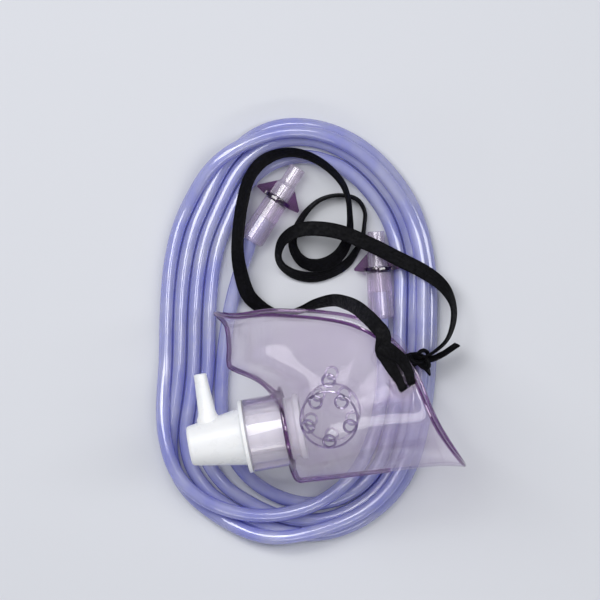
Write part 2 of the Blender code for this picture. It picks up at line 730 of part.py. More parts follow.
def strap_places(near_ear, far_ear):
    """The whole strap as (x, y, z, tilt) rows, from the near ear's inner end to the far ear's."""
    start = np.vstack([slot_pass(near_ear), ear_rows(near_ear, np.array(OVER_NEAR_EAR_MM) / 1000)])
    finish = np.vstack([ear_rows(far_ear, np.array(OVER_FAR_EAR_MM) / 1000), slot_pass(far_ear)[::-1]])
    route = route_rows(STRAP_ROUTE_MM)
    knot = route_rows([(*FAR_KNOT_MM, 30)])
    held = np.vstack([start[-1:], route, knot, finish[:1]])
    curve = spline(held, 8, before=start[-2], after=finish[1])
    return np.vstack([start[:-1], evenly_by_place(curve, BAND_STEP), finish[1:]])


def evenly_by_place(rows, spacing):
    """The same as evenly, with distance measured on the first three columns only."""
    lengths = np.concatenate([[0.0], np.cumsum(np.linalg.norm(np.diff(rows[:, :3], axis=0), axis=1))])
    wanted = np.linspace(0.0, lengths[-1], max(2, round(lengths[-1] / spacing) + 1))
    return np.column_stack([np.interp(wanted, lengths, rows[:, k]) for k in range(rows.shape[1])])


def knot_at(centre, turn, cutters):
    bpy.ops.mesh.primitive_uv_sphere_add(segments=16, ring_count=8, radius=1.0)
    made = cutter(bpy.context.object, cutters)
    made.name = "knot"
    made.location = centre
    made.scale = (KNOT_LENGTH, KNOT_WIDTH, KNOT_HEIGHT)
    made.rotation_euler.z = turn
    return made


def build_strap(near_ear, far_ear, parts, cutters, surface):
    strap = object_from(loft(band_rings(strap_places(near_ear, far_ear))), "head_strap", parts, surface)
    far_knot = Vector(FAR_KNOT_MM) / 1000
    under_ear = Vector((-KNOT_BACK, 0.0, -EAR_THICKNESS / 2 - KNOT_DROP))
    for centre in (far_knot, near_ear @ under_ear, far_ear @ under_ear):
        boolean(strap, knot_at(centre, MASK_TURN, cutters), "UNION")
    for rows in (LONG_TAIL_MM, SHORT_TAIL_MM):
        curve = evenly_by_place(spline(route_rows(rows), 6), BAND_STEP)
        tail = cutter(object_from(loft(band_rings(curve)), "tail", parts), cutters)
        boolean(strap, tail, "UNION")
    return strap


def main():
    for held in list(bpy.data.objects):
        bpy.data.objects.remove(held)
    parts = collection("oxygen_face_mask")
    cutters = collection("cutters")
    tinted = material("tinted_pvc", *TINTED_PVC, transmission=0.8)
    clear_tube = material("tube_pvc", *TUBE_PVC, transmission=0.7)
    white = material("white_plastic", *WHITE_PLASTIC)
    elastic = material("black_elastic", *BLACK_ELASTIC)

    mask_frame = bpy.data.objects.new("mask_frame", None)
    parts.objects.link(mask_frame)
    mask_frame.matrix_world = (
        Matrix.Translation((MASK_CENTRE.x, MASK_CENTRE.y, MASK_HEIGHT))
        @ Matrix.Rotation(MASK_TURN, 4, "Z")
        @ Matrix.Rotation(-MASK_DIP, 4, "X")
        @ Matrix.Rotation(STRAIGHT, 4, "Y")
    )
    shell = build_shell(parts, cutters, tinted)
    for modifier in shell.modifiers:
        if modifier.type == "BOOLEAN":
            modifier.object.parent = mask_frame
    shell.parent = mask_frame

    swivel_frame = bpy.data.objects.new("swivel_frame", None)
    parts.objects.link(swivel_frame)
    swivel_frame.parent = mask_frame
    swivel_frame.location = port_point(0.0, 0.0, 0.0)
    swivel_frame.rotation_euler.x = -PORT_LEAN
    swivel, tools = build_swivel(parts, cutters, white)
    for piece in (swivel, *tools):
        piece.parent = swivel_frame

    near_frame = connector_frame(NEAR_HUB, NEAR_HEADING, NEAR_ROLL)
    far_frame = connector_frame(FAR_HUB, FAR_HEADING, FAR_ROLL)
    build_tube_connector("tube_connector_near", near_frame, parts, cutters, tinted)
    build_tube_connector("tube_connector_far", far_frame, parts, cutters, tinted)
    near_ear = mask_frame.matrix_world @ ear_frame(-1)
    far_ear = mask_frame.matrix_world @ ear_frame(1)
    build_strap(near_ear, far_ear, parts, cutters, elastic)
    outline = coil_outline()
    build_coil(parts, outline, clear_tube)
    near = evenly(spline(near_lead_route(near_frame, outline), 8), NEAR_LEAD_STEP)
    tube("tubing_lead_near", near, TUBE_RADIUS, parts, clear_tube)
    far = evenly(spline(far_lead_route(far_frame, outline), 8), FAR_LEAD_STEP)
    far[:, 2] = np.maximum(far[:, 2], TUBE_RADIUS)
    tube("tubing_lead_far", far, TUBE_RADIUS, parts, clear_tube)


main()
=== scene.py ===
"""Look of the oxygen face mask set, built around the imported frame."""

from math import acos, cos, hypot, pi, radians, sin, sqrt

import bmesh
import bpy
import numpy as np
from mathutils import Matrix, Vector
from mathutils.bvhtree import BVHTree


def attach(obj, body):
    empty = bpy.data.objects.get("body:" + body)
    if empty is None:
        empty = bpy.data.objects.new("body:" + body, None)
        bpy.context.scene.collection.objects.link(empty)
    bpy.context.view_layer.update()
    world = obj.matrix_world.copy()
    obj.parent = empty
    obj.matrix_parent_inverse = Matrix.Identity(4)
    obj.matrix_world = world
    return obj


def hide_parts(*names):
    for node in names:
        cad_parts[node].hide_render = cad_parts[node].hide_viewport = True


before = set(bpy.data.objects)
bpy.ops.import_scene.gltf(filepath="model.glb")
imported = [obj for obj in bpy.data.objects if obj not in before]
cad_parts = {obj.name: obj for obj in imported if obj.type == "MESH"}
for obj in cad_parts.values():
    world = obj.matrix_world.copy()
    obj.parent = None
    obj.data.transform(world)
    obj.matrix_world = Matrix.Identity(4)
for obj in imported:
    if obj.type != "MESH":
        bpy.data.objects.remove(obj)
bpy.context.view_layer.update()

GAP = 0.0003
STRAIGHT = radians(90)
ON_AXIS = 1e-6
MIRRORED = np.array([-1, 1, 1])
TUBE_RADIUS, TUBE_BORE = 0.0030, 0.0019
TUBES_APART = 2 * TUBE_RADIUS + 0.00004

PIXELS, PIXEL_SIZE = 600, 0.00043
ORIGIN_PIXEL = (325, 315)
PICTURE_CENTRE = (
    (PIXELS / 2 - ORIGIN_PIXEL[0]) * PIXEL_SIZE,
    (ORIGIN_PIXEL[1] - PIXELS / 2) * PIXEL_SIZE,
)
CAMERA_HEIGHT, FOCUS_HEIGHT = 2.6, 0.030
SENSOR_WIDTH, FARTHEST_SEEN = 36, 20


# Shared helpers
moved = Matrix.Translation


def spun(angle, axis):
    return Matrix.Rotation(angle, 4, axis)


def metres(rows):
    """Rows of millimetres, with degrees in a fourth column if there is one, as metres and radians."""
    rows = np.array(rows, float)
    rows[:, :3] /= 1000
    rows[:, 3:] = np.radians(rows[:, 3:])
    return rows


def spline(points, steps, before=None, after=None):
    """Points on a Catmull-Rom curve through the given ones, `steps` to each span."""
    points = np.asarray(points, float)
    first = 2 * points[0] - points[1] if before is None else before
    last = 2 * points[-1] - points[-2] if after is None else after
    held = np.vstack([first, points, last])
    found = []
    for i in range(1, len(held) - 2):
        a, b, c, d = held[i - 1 : i + 3]
        square, cube = 2 * a - 5 * b + 4 * c - d, 3 * b - a - 3 * c + d
        for step in range(steps):
            t = step / steps
            found.append(0.5 * (2 * b + (c - a) * t + square * t**2 + cube * t**3))
    found.append(points[-1])
    return np.array(found)


def norms(rows):
    return np.linalg.norm(rows, axis=1)


def evenly(rows, spacing):
    """Rows read again at an even distance, measured on their first three columns."""
    lengths = np.concatenate([[0], np.cumsum(norms(np.diff(rows[:, :3], axis=0)))])
    wanted = np.linspace(0, lengths[-1], max(2, round(lengths[-1] / spacing) + 1))
    return np.column_stack([np.interp(wanted, lengths, column) for column in rows.T])


def eased(share, start=0, over=1):
    """From 0 to 1 with soft ends, over a stretch from its start."""
    share = min(1, max(0, (share - start) / over))
    return share * share * (3 - 2 * share)


def circle(count):
    """The cosine and sine at each of that many even steps round a circle."""
    angles = [2 * pi * k / count for k in range(count)]
    return [(cos(angle), sin(angle)) for angle in angles]


def ring_about(place, side, up, size, count):
    """A ring of points about a place, in the plane of two directions."""
    return [tuple(place + (side * c + up * s) * size) for c, s in circle(count)]


def smoothed(mesh, angle):
    """Smooth shading, but for the edges that bend by more than that many degrees."""
    mesh.shade_smooth()
    mesh.set_sharp_from_angle(angle=radians(angle))


def in_scene(name, data):
    """A new object in the scene that holds the data."""
    made = bpy.data.objects.new(name, data)
    bpy.context.scene.collection.objects.link(made)
    return made


def new_object(name, builder, *materials):
    mesh = bpy.data.meshes.new(name)
    builder.to_mesh(mesh)
    builder.free()
    for material in materials:
        mesh.materials.append(material)
    return in_scene(name, mesh)


def loft(rings, closed_along=False, builder=None):
    """Faces from ring to ring, with a cap at each end of a run that isn't closed."""
    builder = builder or bmesh.new()
    rows = [[builder.verts.new(point) for point in ring] for ring in rings]
    around = len(rows[0])
    last = len(rows) if closed_along else len(rows) - 1
    for i in range(last):
        near, far = rows[i], rows[(i + 1) % len(rows)]
        for k in range(around):
            following = (k + 1) % around
            builder.faces.new((near[k], near[following], far[following], far[k]))
    if not closed_along:
        builder.faces.new(reversed(rows[0]))
        builder.faces.new(rows[-1])
    bmesh.ops.recalc_face_normals(builder, faces=builder.faces)
    return builder


def turned(profile, steps, closed=True):
    """A mesh turned about Z from an outline of (radius, height) points."""
    builder = bmesh.new()
    rings = []
    for radius, height in profile:
        around = [(0, 0)] if radius < ON_AXIS else circle(steps)
        rings.append([builder.verts.new((radius * c, radius * s, height)) for c, s in around])
    pairs = list(zip(rings, rings[1:]))
    if closed:
        pairs.append((rings[-1], rings[0]))
    for near, far in pairs:
        for k in range(steps):
            corners = [near[k % len(near)], near[(k + 1) % len(near)]]
            corners += [far[(k + 1) % len(far)], far[k % len(far)]]
            unique = list(dict.fromkeys(corners))
            if len(unique) > 2:
                builder.faces.new(unique)
    bmesh.ops.recalc_face_normals(builder, faces=builder.faces)
    return builder


def rounded(profile, sizes, most_share=0.45, steps=4):
    """A closed outline with rounded corners, of one size or one for each. Size 0 stays sharp."""
    corners = [np.array(corner, float) for corner in profile]
    found = []
    for i, (corner, size) in enumerate(zip(corners, np.broadcast_to(sizes, len(corners)))):
        before, after = corners[i - 1] - corner, corners[(i + 1) % len(corners)] - corner
        if not size:
            found.append(tuple(corner))
            continue
        size = min(size, most_share * np.linalg.norm(before), most_share * np.linalg.norm(after))
        start = corner + before / np.linalg.norm(before) * size
        end = corner + after / np.linalg.norm(after) * size
        for step in range(steps + 1):
            t = step / steps
            found.append(tuple(start * (1 - t) ** 2 + corner * 2 * t * (1 - t) + end * t**2))
    return found


def applied(target):
    """Makes the object's modifiers part of its mesh."""
    graph = bpy.context.evaluated_depsgraph_get()
    mesh = bpy.data.meshes.new_from_object(target.evaluated_get(graph))
    target.modifiers.clear()
    target.data = mesh


def combined(target, *tools):
    """Joins the object with others or cuts it with them. The others are then gone."""
    for tool, operation in tools:
        modifier = target.modifiers.new(operation, "BOOLEAN")
        modifier.operation = operation
        modifier.object = tool
        modifier.solver = "EXACT"
    bpy.context.view_layer.update()
    applied(target)
    for tool, _ in tools:
        bpy.data.objects.remove(tool)


def settled(target, place):
    """Moves the form itself, so that the object's own place stays at the world's zero."""
    target.data.transform(place)
    target.data.update()


# Camera
def place_camera():
    data = bpy.data.cameras.new("camera")
    camera = in_scene("camera", data)
    camera.location = (*PICTURE_CENTRE, CAMERA_HEIGHT)
    data.sensor_width = SENSOR_WIDTH
    data.lens = SENSOR_WIDTH * (CAMERA_HEIGHT - FOCUS_HEIGHT) / (PIXELS * PIXEL_SIZE)
    data.clip_end = FARTHEST_SEEN
    bpy.context.scene.camera = camera


place_camera()


# Materials
class Shader:
    """A Principled material with helpers for the nodes that feed it."""

    def __init__(self, name, colour, roughness, **values):
        self.material = bpy.data.materials.new(name)
        self.material.use_nodes = True
        self.tree = self.material.node_tree
        self.body = self.tree.nodes["Principled BSDF"]
        self.coords = self.tree.nodes.new("ShaderNodeTexCoord")
        for socket, value in {"Base Color": (*colour, 1), "Roughness": roughness, **values}.items():
            self.body.inputs[socket].default_value = value

    def node(self, kind, **inputs):
        made = self.tree.nodes.new(kind)
        for key, value in inputs.items():
            made.inputs[key.replace("_", " ")].default_value = value
        return made

    def link(self, source, target):
        self.tree.links.new(source, target)

    def feed(self, socket, source):
        self.link(source, self.body.inputs[socket])

    def noise(self, scale, detail=3):
        made = self.node("ShaderNodeTexNoise", Scale=scale, Detail=detail, Roughness=0.55)
        self.link(self.coords.outputs["Object"], made.inputs["Vector"])
        return made.outputs["Fac"]

    def ramp(self, source, low, high, first=0.35, second=0.65):
        """A value from low to high as the source goes from first to second."""
        made = self.node("ShaderNodeMapRange", From_Min=first, From_Max=second, To_Min=low, To_Max=high)
        self.link(source, made.inputs["Value"])
        return made.outputs["Result"]

    def mixed_in(self, factor, first, second):
        """A colour between two, each a socket or a colour."""
        made = self.node("ShaderNodeMix")
        made.data_type = "RGBA"
        sockets = [socket for socket in made.inputs if socket.type == "RGBA"]
        for socket, value in zip(sockets, (first, second)):
            if isinstance(value, tuple):
                socket.default_value = (*value, 1)
            else:
                self.link(value, socket)
        self.link(factor, made.inputs["Factor"])
        return [socket for socket in made.outputs if socket.type == "RGBA"][0]

    def two_tone(self, scale, dark, pale, detail=3):
        """Patches of two colours, at the scale of a noise."""
        return self.mixed_in(self.ramp(self.noise(scale, detail), 0, 1), dark, pale)

    def bump(self, source, strength, distance):
        made = self.node("ShaderNodeBump", Strength=strength, Distance=distance)
        self.link(source, made.inputs["Height"])
        self.feed("Normal", made.outputs["Normal"])


GLOSSY_PVC = {
    "IOR": 1.5, "Specular IOR Level": 0.85, "Coat Weight": 0.9, "Coat IOR": 1.9, "Coat Roughness": 0.05,
}
DEEP_PLASTIC = {
    "IOR": 1.46, "Subsurface Weight": 0.25, "Subsurface Scale": 1,
    "Subsurface Radius": (0.004, 0.0035, 0.003),
}
MATT_ELASTIC = {"Specular IOR Level": 0.10, "Sheen Weight": 0.01, "Sheen Roughness": 0.4}
PURPLE, BLUE = (0.42, 0.14, 0.62), (0.16, 0.20, 0.88)


def clear_pvc(
    name, dark, pale, edge, density, clear, clear_to=0.4, least_clear=0.96,
    edge_from=0.5, transmission=1, roughness=0.05, absorption=PURPLE,
):
    """Clear moulded PVC: see-through face on, deeper in colour and less clear where it is seen edge on."""
    shader = Shader(name, pale, roughness, **GLOSSY_PVC, **{"Transmission Weight": transmission})
    facing = shader.node("ShaderNodeLayerWeight", Blend=0.5).outputs["Facing"]
    shader.feed("Alpha", shader.ramp(facing, clear, least_clear, first=clear_to, second=0.98))
    body = shader.two_tone(55, dark, pale)
    rim = shader.ramp(facing, 0, 1, first=edge_from, second=0.96)
    shader.feed("Base Color", shader.mixed_in(rim, body, edge))
    shader.feed("Roughness", shader.ramp(shader.noise(140), roughness * 0.7, roughness * 1.5))
    shader.bump(shader.noise(90, detail=2), strength=0.12, distance=0.0006)
    volume = shader.node("ShaderNodeVolumeAbsorption", Color=(*absorption, 1), Density=density)
    shader.link(volume.outputs["Volume"], shader.tree.nodes["Material Output"].inputs["Volume"])
    return shader.material


def white_plastic():
    shader = Shader("white_plastic", (0.86, 0.87, 0.90), 0.30, **DEEP_PLASTIC)
    shader.feed("Base Color", shader.two_tone(30, (0.83, 0.845, 0.88), (0.90, 0.905, 0.92)))
    shader.feed("Roughness", shader.ramp(shader.noise(220), 0.24, 0.40))
    shader.bump(shader.noise(420, detail=2), strength=0.06, distance=0.0002)
    return shader.material


def black_elastic():
    shader = Shader("black_elastic", (0.006, 0.006, 0.008), 0.62, **MATT_ELASTIC)
    dark, pale = (0.0008, 0.0008, 0.0012), (0.004, 0.004, 0.006)
    shader.feed("Base Color", shader.two_tone(900, dark, pale, detail=4))
    shader.feed("Roughness", shader.ramp(shader.noise(600), 0.50, 0.78))
    shader.bump(shader.noise(1400), strength=0.5, distance=0.0003)
    return shader.material


MASK_PVC = clear_pvc(
    "mask_pvc", (0.82, 0.68, 0.93), (0.92, 0.83, 0.98), (0.20, 0.07, 0.34), density=24,
    clear=0.18, clear_to=0.62, least_clear=0.66, edge_from=0.45, transmission=0.65,
)
# Deep purple for the mask's thick rolled rim, with painted shade added: the dark line that edge-on plastic
# shows along the rim, down the nose and chin and round the collar's root.
MASK_EDGE_SHADE = clear_pvc(
    "mask_edge_shade_pvc", (0.20, 0.05, 0.27), (0.27, 0.08, 0.34), (0.07, 0.01, 0.11), density=60,
    clear=0.92, roughness=0.08,
)
# Darker purple for the vent rims and the ring round them: partly their thicker plastic, partly painted shade
# for the dark outlines round the vents.
BEAD_SHADE_PVC = clear_pvc(
    "bead_shade_pvc", (0.44, 0.35, 0.58), (0.54, 0.45, 0.68), (0.12, 0.05, 0.20), density=30, clear=0.80,
)
COLLAR_PVC = clear_pvc(
    "collar_pvc", (0.95, 0.91, 0.98), (0.98, 0.95, 0.99), (0.15, 0.02, 0.22), density=24,
    clear=0.30, clear_to=0.24 * 0.8, edge_from=0.24,
)
CONNECTOR_PVC = clear_pvc(
    "connector_pvc", (0.92, 0.84, 1), (0.97, 0.93, 1), (0.16, 0.04, 0.26), density=60,
    clear=0.46, transmission=0.60, roughness=0.06,
)
WING_PVC = clear_pvc(
    "wing_pvc", (0.20, 0.05, 0.23), (0.28, 0.09, 0.31), (0.07, 0.01, 0.10), density=160,
    clear=0.92, roughness=0.08,
)
TUBE_PVC = clear_pvc(
    "tube_pvc", (0.54, 0.57, 1), (0.78, 0.80, 1), (0.04, 0.05, 0.84), density=240,
    clear=0.60, clear_to=0.38 * 0.8, edge_from=0.38, transmission=0.34, absorption=BLUE,
)
WHITE_PLASTIC = white_plastic()
BLACK_ELASTIC = black_elastic()


# Tubing
COIL_OUTLINE_MM = (
    (49, 2), (48.6, 19), (45.6, 35.5), (40.6, 49.5), (32.6, 61.5), (23.6, 71.4),
    (12.5, 79.2), (0, 84.3), (-12.2, 85.8), (-24.6, 84.3), (-36.6, 78.9), (-46, 71.8),
    (-53.8, 62.5), (-61, 50.8), (-66.3, 39.2), (-69.4, 26.5), (-71.4, 11), (-72.2, -6.5),
    (-72.4, -24), (-72.4, -41), (-71.2, -57), (-67.6, -70), (-59.8, -81), (-47.5, -90.6),
    (-32.2, -97.6), (-15.6, -100.2), (-0.6, -98.8), (12.8, -94.4), (24.4, -87.4), (33.4, -78.6),
    (39.6, -68.8), (43.4, -57.6), (46, -45.4), (47.8, -31.5), (48.8, -15),
)
OUTLINE_STEP = 0.0045
COIL_TURNS, COIL_NARROW, COIL_WIDE = 4, 3.05, 4.15
WIDENS, NARROWS = (0.24, 0.12), (0.56, 0.24)
LANE_PITCH, WIDE_LANE_SPARE = 0.00613, 0.00014
SPREAD, SPREADS, SPREAD_ENDS = 0.0010, (0.82, 0.06), (0, 0.05)
CUFF_LENGTH, SOCKET_DEPTH, CUFF_LEAD = 0.0220, 0.0120, 0.004
NEAR_LEAD_BEND = (-0.0392, 0.0225, 0.0040)
NEAR_LEAD_JOINS = ((0.432, 0.0024), (0.442, 0.0012), (0.452, 0.0005))
WOUND_FROM, WOUND_TO, STEPS_A_TURN = 0.475, COIL_TURNS + 0.600, 40
LANE_MOVES = ((0.25, 0.12, 1), (0.50, 0.10, -1), (0.655, 0.12, -1))
LAST_TURN_CHANGES, LAST_ROLL = 0.45, (0.50, 0.10)
CROSS_START, CROSS_END, CROSS_LAID_FROM, CROSS_STEPS = 0.585, 0.845, 0.615, 16
CROSS_SPREADS, CROSS_FALLS = (0.80, 0.045), (0.84, 0.16)
FAR_LEAD_LEAVES, FAR_LEAD_STEPS, FAR_DIP = 0.945, 4, 0.0007
TUBING_STEP, TUBING_SIDES = 0.0030, 20
FIXED_ROWS, FIXED_FADE = 4, 3
FIRST_PASS, FIRST_PASS_FADE, FIRST_PASS_ROUNDS = 56, 24, 14
LEAST_BEND, BEND_FADE, BEND_ROUNDS = 0.0285, 0.004, 60

HUB_RADIUS = 0.0062


def connector_frame(hub_place, heading, roll):
    """The frame of a tube connector that lies on the floor, with its heading and roll in degrees."""
    level = moved((*hub_place, HUB_RADIUS))
    turn = spun(radians(heading) - STRAIGHT, "Z") @ spun(-STRAIGHT, "X")
    return level @ turn @ spun(radians(roll), "Z")


NEAR_FRAME = connector_frame((-0.0203, 0.0504), heading=57, roll=0)
FAR_FRAME = connector_frame((0.0232, 0.0202), heading=93.6, roll=-12)


def axis_point(place, offset):
    return tuple(place @ Vector((0, 0, offset)))


def coil_outline():
    """Places on the coil's outer edge, and the direction outward at each."""
    held = metres(COIL_OUTLINE_MM)
    curve = spline(np.vstack([held, held[:1]]), 8, before=held[-1], after=held[1])
    places = evenly(curve, OUTLINE_STEP)[:-1]
    along = np.roll(places, -1, axis=0) - np.roll(places, 1, axis=0)
    outward = np.column_stack([along[:, 1], -along[:, 0]])
    return places, outward / norms(outward)[:, None]


def coil_point(outline, share, inset):
    """The place at that share of a turn, that far in from the coil's outer edge."""
    count = len(outline[0])
    at = (share % 1) * count
    index, following, part = int(at) % count, (int(at) + 1) % count, at % 1
    place, out = (rows[index] * (1 - part) + rows[following] * part for rows in outline)
    return place - out / np.linalg.norm(out) * inset


def widened(share):
    """How far the coil is from its narrow width, 0, to its wide one, 1, at that share of a turn."""
    share = share % 1
    return eased(share, *WIDENS) - eased(share, *NARROWS)


def inside_coil(share):
    """How far in from the outer edge a tube lies that runs inside the whole coil."""
    width = 2 * TUBE_RADIUS * (COIL_NARROW + (COIL_WIDE - COIL_NARROW) * widened(share))
    return width + TUBE_RADIUS + GAP


def lane_place(share, lane):
    """Distance in from the coil's outer edge, and height, of the tube's middle in a lane of the coil.

    Lane 0 is the outermost on the surface. From 0 to -1 the tube rolls up over the one that takes its
    place, to lie in the groove between that one and the next.
    """
    pitch = LANE_PITCH + WIDE_LANE_SPARE * widened(share)
    spread = SPREAD * (eased(share, *SPREADS) if share > 0.5 else 1 - eased(share, *SPREAD_ENDS))

    def inset_of(number):
        return TUBE_RADIUS + pitch * number + spread * min(1, max(0, number))

    if lane >= 0:
        return inset_of(lane), TUBE_RADIUS
    angle = -lane * acos(-(pitch + spread) / (2 * TUBES_APART))
    height = TUBE_RADIUS + TUBES_APART * sin(angle)
    return inset_of(lane + 1) - TUBES_APART * cos(angle), height


def wound_place(turn):
    """Distance in from the outer edge, and height, after that many turns."""
    number, share = int(turn), turn % 1
    if number == COIL_TURNS and share > LAST_TURN_CHANGES:
        rolled = eased(share, *LAST_ROLL)
        inset, _ = lane_place(share, 1 - rolled)
        angle = STRAIGHT * rolled
        return inset - TUBES_APART * cos(angle), TUBE_RADIUS + TUBES_APART * sin(angle)
    lanes = sum(way * eased(share, start, over) for start, over, way in LANE_MOVES)
    return lane_place(share, COIL_TURNS - 1 - number + lanes)


def tubing_route():
    """The whole tube: out of the near connector's cuff, round the coil and into the far connector's cuff."""
    outline = coil_outline()
    in_socket = SOCKET_DEPTH - CUFF_LENGTH - GAP
    offsets = (in_socket, -CUFF_LENGTH, -CUFF_LENGTH - CUFF_LEAD)
    route = [axis_point(NEAR_FRAME, offset) for offset in offsets]
    route.append(NEAR_LEAD_BEND)
    for share, spare in NEAR_LEAD_JOINS:
        route.append((*coil_point(outline, share, inside_coil(share) + spare), TUBE_RADIUS))
    for turn in np.linspace(WOUND_FROM, WOUND_TO, round((WOUND_TO - WOUND_FROM) * STEPS_A_TURN) + 1):
        inset, height = wound_place(float(turn))
        route.append((*coil_point(outline, turn, inset), height))
    on_top = 3 * TUBE_RADIUS + GAP
    for i in range(1, CROSS_STEPS + 1):
        part = i / CROSS_STEPS
        share = CROSS_START + (CROSS_END - CROSS_START) * part
        if share < CROSS_LAID_FROM:
            continue
        spread = SPREAD * eased(share, *CROSS_SPREADS)
        inset = TUBE_RADIUS + (inside_coil(share) + spread - TUBE_RADIUS) * eased(part)
        fallen = eased(part, *CROSS_FALLS)
        route.append((*coil_point(outline, share, inset), on_top + (TUBE_RADIUS - on_top) * fallen))
    for i in range(1, FAR_LEAD_STEPS + 1):
        share = CROSS_END + (FAR_LEAD_LEAVES - CROSS_END) * i / FAR_LEAD_STEPS
        route.append((*coil_point(outline, share, inside_coil(share) + SPREAD), TUBE_RADIUS))
    end = [axis_point(FAR_FRAME, offset) for offset in offsets[::-1]]
    end[0] = (*end[0][:2], end[0][2] - FAR_DIP)
    return np.array(route + end)


def averaged(line, reach, weight):
    """The line with each point moved toward the mean of its neighbours, by its own weight."""
    count = len(line)
    padded = np.vstack([np.repeat(line[:1], reach, axis=0), line, np.repeat(line[-1:], reach, axis=0)])
    mean = sum(padded[k : k + count] for k in range(2 * reach + 1)) / (2 * reach + 1)
    return line + (mean - line) * weight[:, None]


def bend_radii(line, reach=2):
    """The bend's radius at each point, from the circle through it and a point on each side."""
    before, here, after = line[: -2 * reach], line[reach:-reach], line[2 * reach :]
    sides = [norms(side) for side in (here - before, after - here, before - after)]
    doubled = norms(np.cross(here - before, after - before))
    inner = sides[0] * sides[1] * sides[2] / np.maximum(2 * doubled, 1e-12)
    straight = np.full(reach, 1)
    return np.concatenate([straight, inner, straight])


def tubing_line():
    """The tube's centreline, with its tightest bends eased as a springy tube eases them."""
    line = evenly(spline(tubing_route(), 10), TUBING_STEP)
    count = len(line)
    places = np.arange(count)
    free = np.clip((np.minimum(places, places[::-1]) - FIXED_ROWS) / FIXED_FADE, 0, 1)
    first_pass = free * np.clip((FIRST_PASS - places) / FIRST_PASS_FADE, 0, 1)
    line = averaged(line, 2, free)
    for _ in range(FIRST_PASS_ROUNDS):
        line = averaged(line, 3, first_pass)
    for _ in range(BEND_ROUNDS):
        sharp = np.clip((LEAST_BEND - bend_radii(line)) / BEND_FADE, 0, 1)
        spread = np.array([sharp[max(0, i - 3) : i + 4].max() for i in range(count)])
        line = averaged(line, 2, free * spread * 0.5)
    line[:, 2] = np.maximum(line[:, 2], TUBE_RADIUS)
    return line


def carried_frames(points):
    """A pair of side directions at each point of a run, turned as little as can be along it."""
    tangents = np.gradient(points, axis=0)
    tangents /= norms(tangents)[:, None]
    side = Vector((0, 0, 1)).cross(Vector(tangents[0]))
    side.normalize()
    frames = []
    for tangent in tangents:
        run = Vector(tangent)
        side = (side - run * side.dot(run)).normalized()
        frames.append((side.copy(), run.cross(side)))
    return frames


def build_tubing():
    line = tubing_line()
    places = [(Vector(place), *sides) for place, sides in zip(line, carried_frames(line))]
    outer, inner = (
        [ring_about(*place, radius, TUBING_SIDES) for place in places]
        for radius in (TUBE_RADIUS, TUBE_BORE)
    )
    tube = new_object("oxygen_tubing", loft(outer + inner[::-1], closed_along=True), TUBE_PVC)
    smoothed(tube.data, 60)
    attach(tube, "mask")
    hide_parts("tubing_coil", "tubing_lead_near", "tubing_lead_far")


# Tube connectors
BARREL_RADIUS, BARREL_END, BARREL_BORE = 0.0036, 0.0160, 0.0022
BODY_RADIUS, BODY_END, BODY_SLOPE = 0.0045, 0.0067, 0.0012
HUB_START, HUB_END = -0.0014, 0.0006
CUFF_RADIUS, CUFF_END_RADIUS, CUFF_EDGE = 0.0052, 0.0057, 0.0012
WING_TIP_RADIUS, WING_THICK, WING_TIP_LENGTH = 0.0106, 0.0014, 0.0011
WING_IN_BODY, WING_ROUND, WING_FLAT_SHARE, WING_EDGE_INSET = 0.0004, 0.0007, 0.6, 0.06
CONNECTOR_ROUND, CONNECTOR_STEPS = 0.0004, 64


def wing_rings(side):
    """A wing from the hub to its tip, as rings across its thickness with eased edges."""
    root = BARREL_BORE + WING_IN_BODY
    tip = WING_TIP_LENGTH / 2
    upper = (root, BODY_END), (BODY_RADIUS, BODY_END), (WING_TIP_RADIUS, tip)
    lower = (WING_TIP_RADIUS, -tip), (HUB_RADIUS, HUB_START), (root, HUB_START)
    outline = [(side * x, z) for x, z in upper + lower]
    middle = np.mean(outline, axis=0)
    corners = np.array(rounded(outline, WING_ROUND, most_share=0.4))
    half = WING_THICK / 2
    flat = half * WING_FLAT_SHARE
    rings = []
    for level, inset in ((-half, WING_EDGE_INSET), (-flat, 0), (flat, 0), (half, WING_EDGE_INSET)):
        rings.append([(x, level, z) for x, z in corners + (middle - corners) * inset])
    return rings


def build_tube_connector(side_name, place):
    """A tube connector, cuff to barrel along Z, with its two wings along X."""
    socket = TUBE_RADIUS + GAP / 3
    socket_end = SOCKET_DEPTH - CUFF_LENGTH
    profile = [
        (BARREL_RADIUS, BARREL_END), (BARREL_RADIUS, BODY_END + BODY_SLOPE),
        (BODY_RADIUS, BODY_END), (BODY_RADIUS, HUB_END),
        (HUB_RADIUS, HUB_END), (HUB_RADIUS, HUB_START),
        (CUFF_RADIUS, HUB_START), (CUFF_END_RADIUS, CUFF_EDGE - CUFF_LENGTH),
        (CUFF_END_RADIUS - CUFF_EDGE, -CUFF_LENGTH), (socket, -CUFF_LENGTH),
        (socket, socket_end), (BARREL_BORE, socket_end), (BARREL_BORE, BARREL_END),
    ]
    builder = turned(rounded(profile, CONNECTOR_ROUND), CONNECTOR_STEPS)
    for face in builder.faces:
        middle = face.calc_center_median()
        hub = HUB_START - CONNECTOR_ROUND < middle.z < HUB_END + CONNECTOR_ROUND
        face.material_index = int(hub and hypot(middle.x, middle.y) > CUFF_RADIUS - CONNECTOR_ROUND)
    body = new_object("connector_" + side_name, builder, CONNECTOR_PVC, WING_PVC)
    builder = bmesh.new()
    for side in (-1, 1):
        loft(wing_rings(side), builder=builder)
    for face in builder.faces:
        face.material_index = 1
    combined(body, (new_object("wings", builder, CONNECTOR_PVC, WING_PVC), "UNION"))
    smoothed(body.data, 35)
    settled(body, place)
    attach(body, "mask")
    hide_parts("tube_connector_" + side_name)
    return body


build_tube_connector("near", NEAR_FRAME)
FAR_CONNECTOR = build_tube_connector("far", FAR_FRAME)
build_tubing()


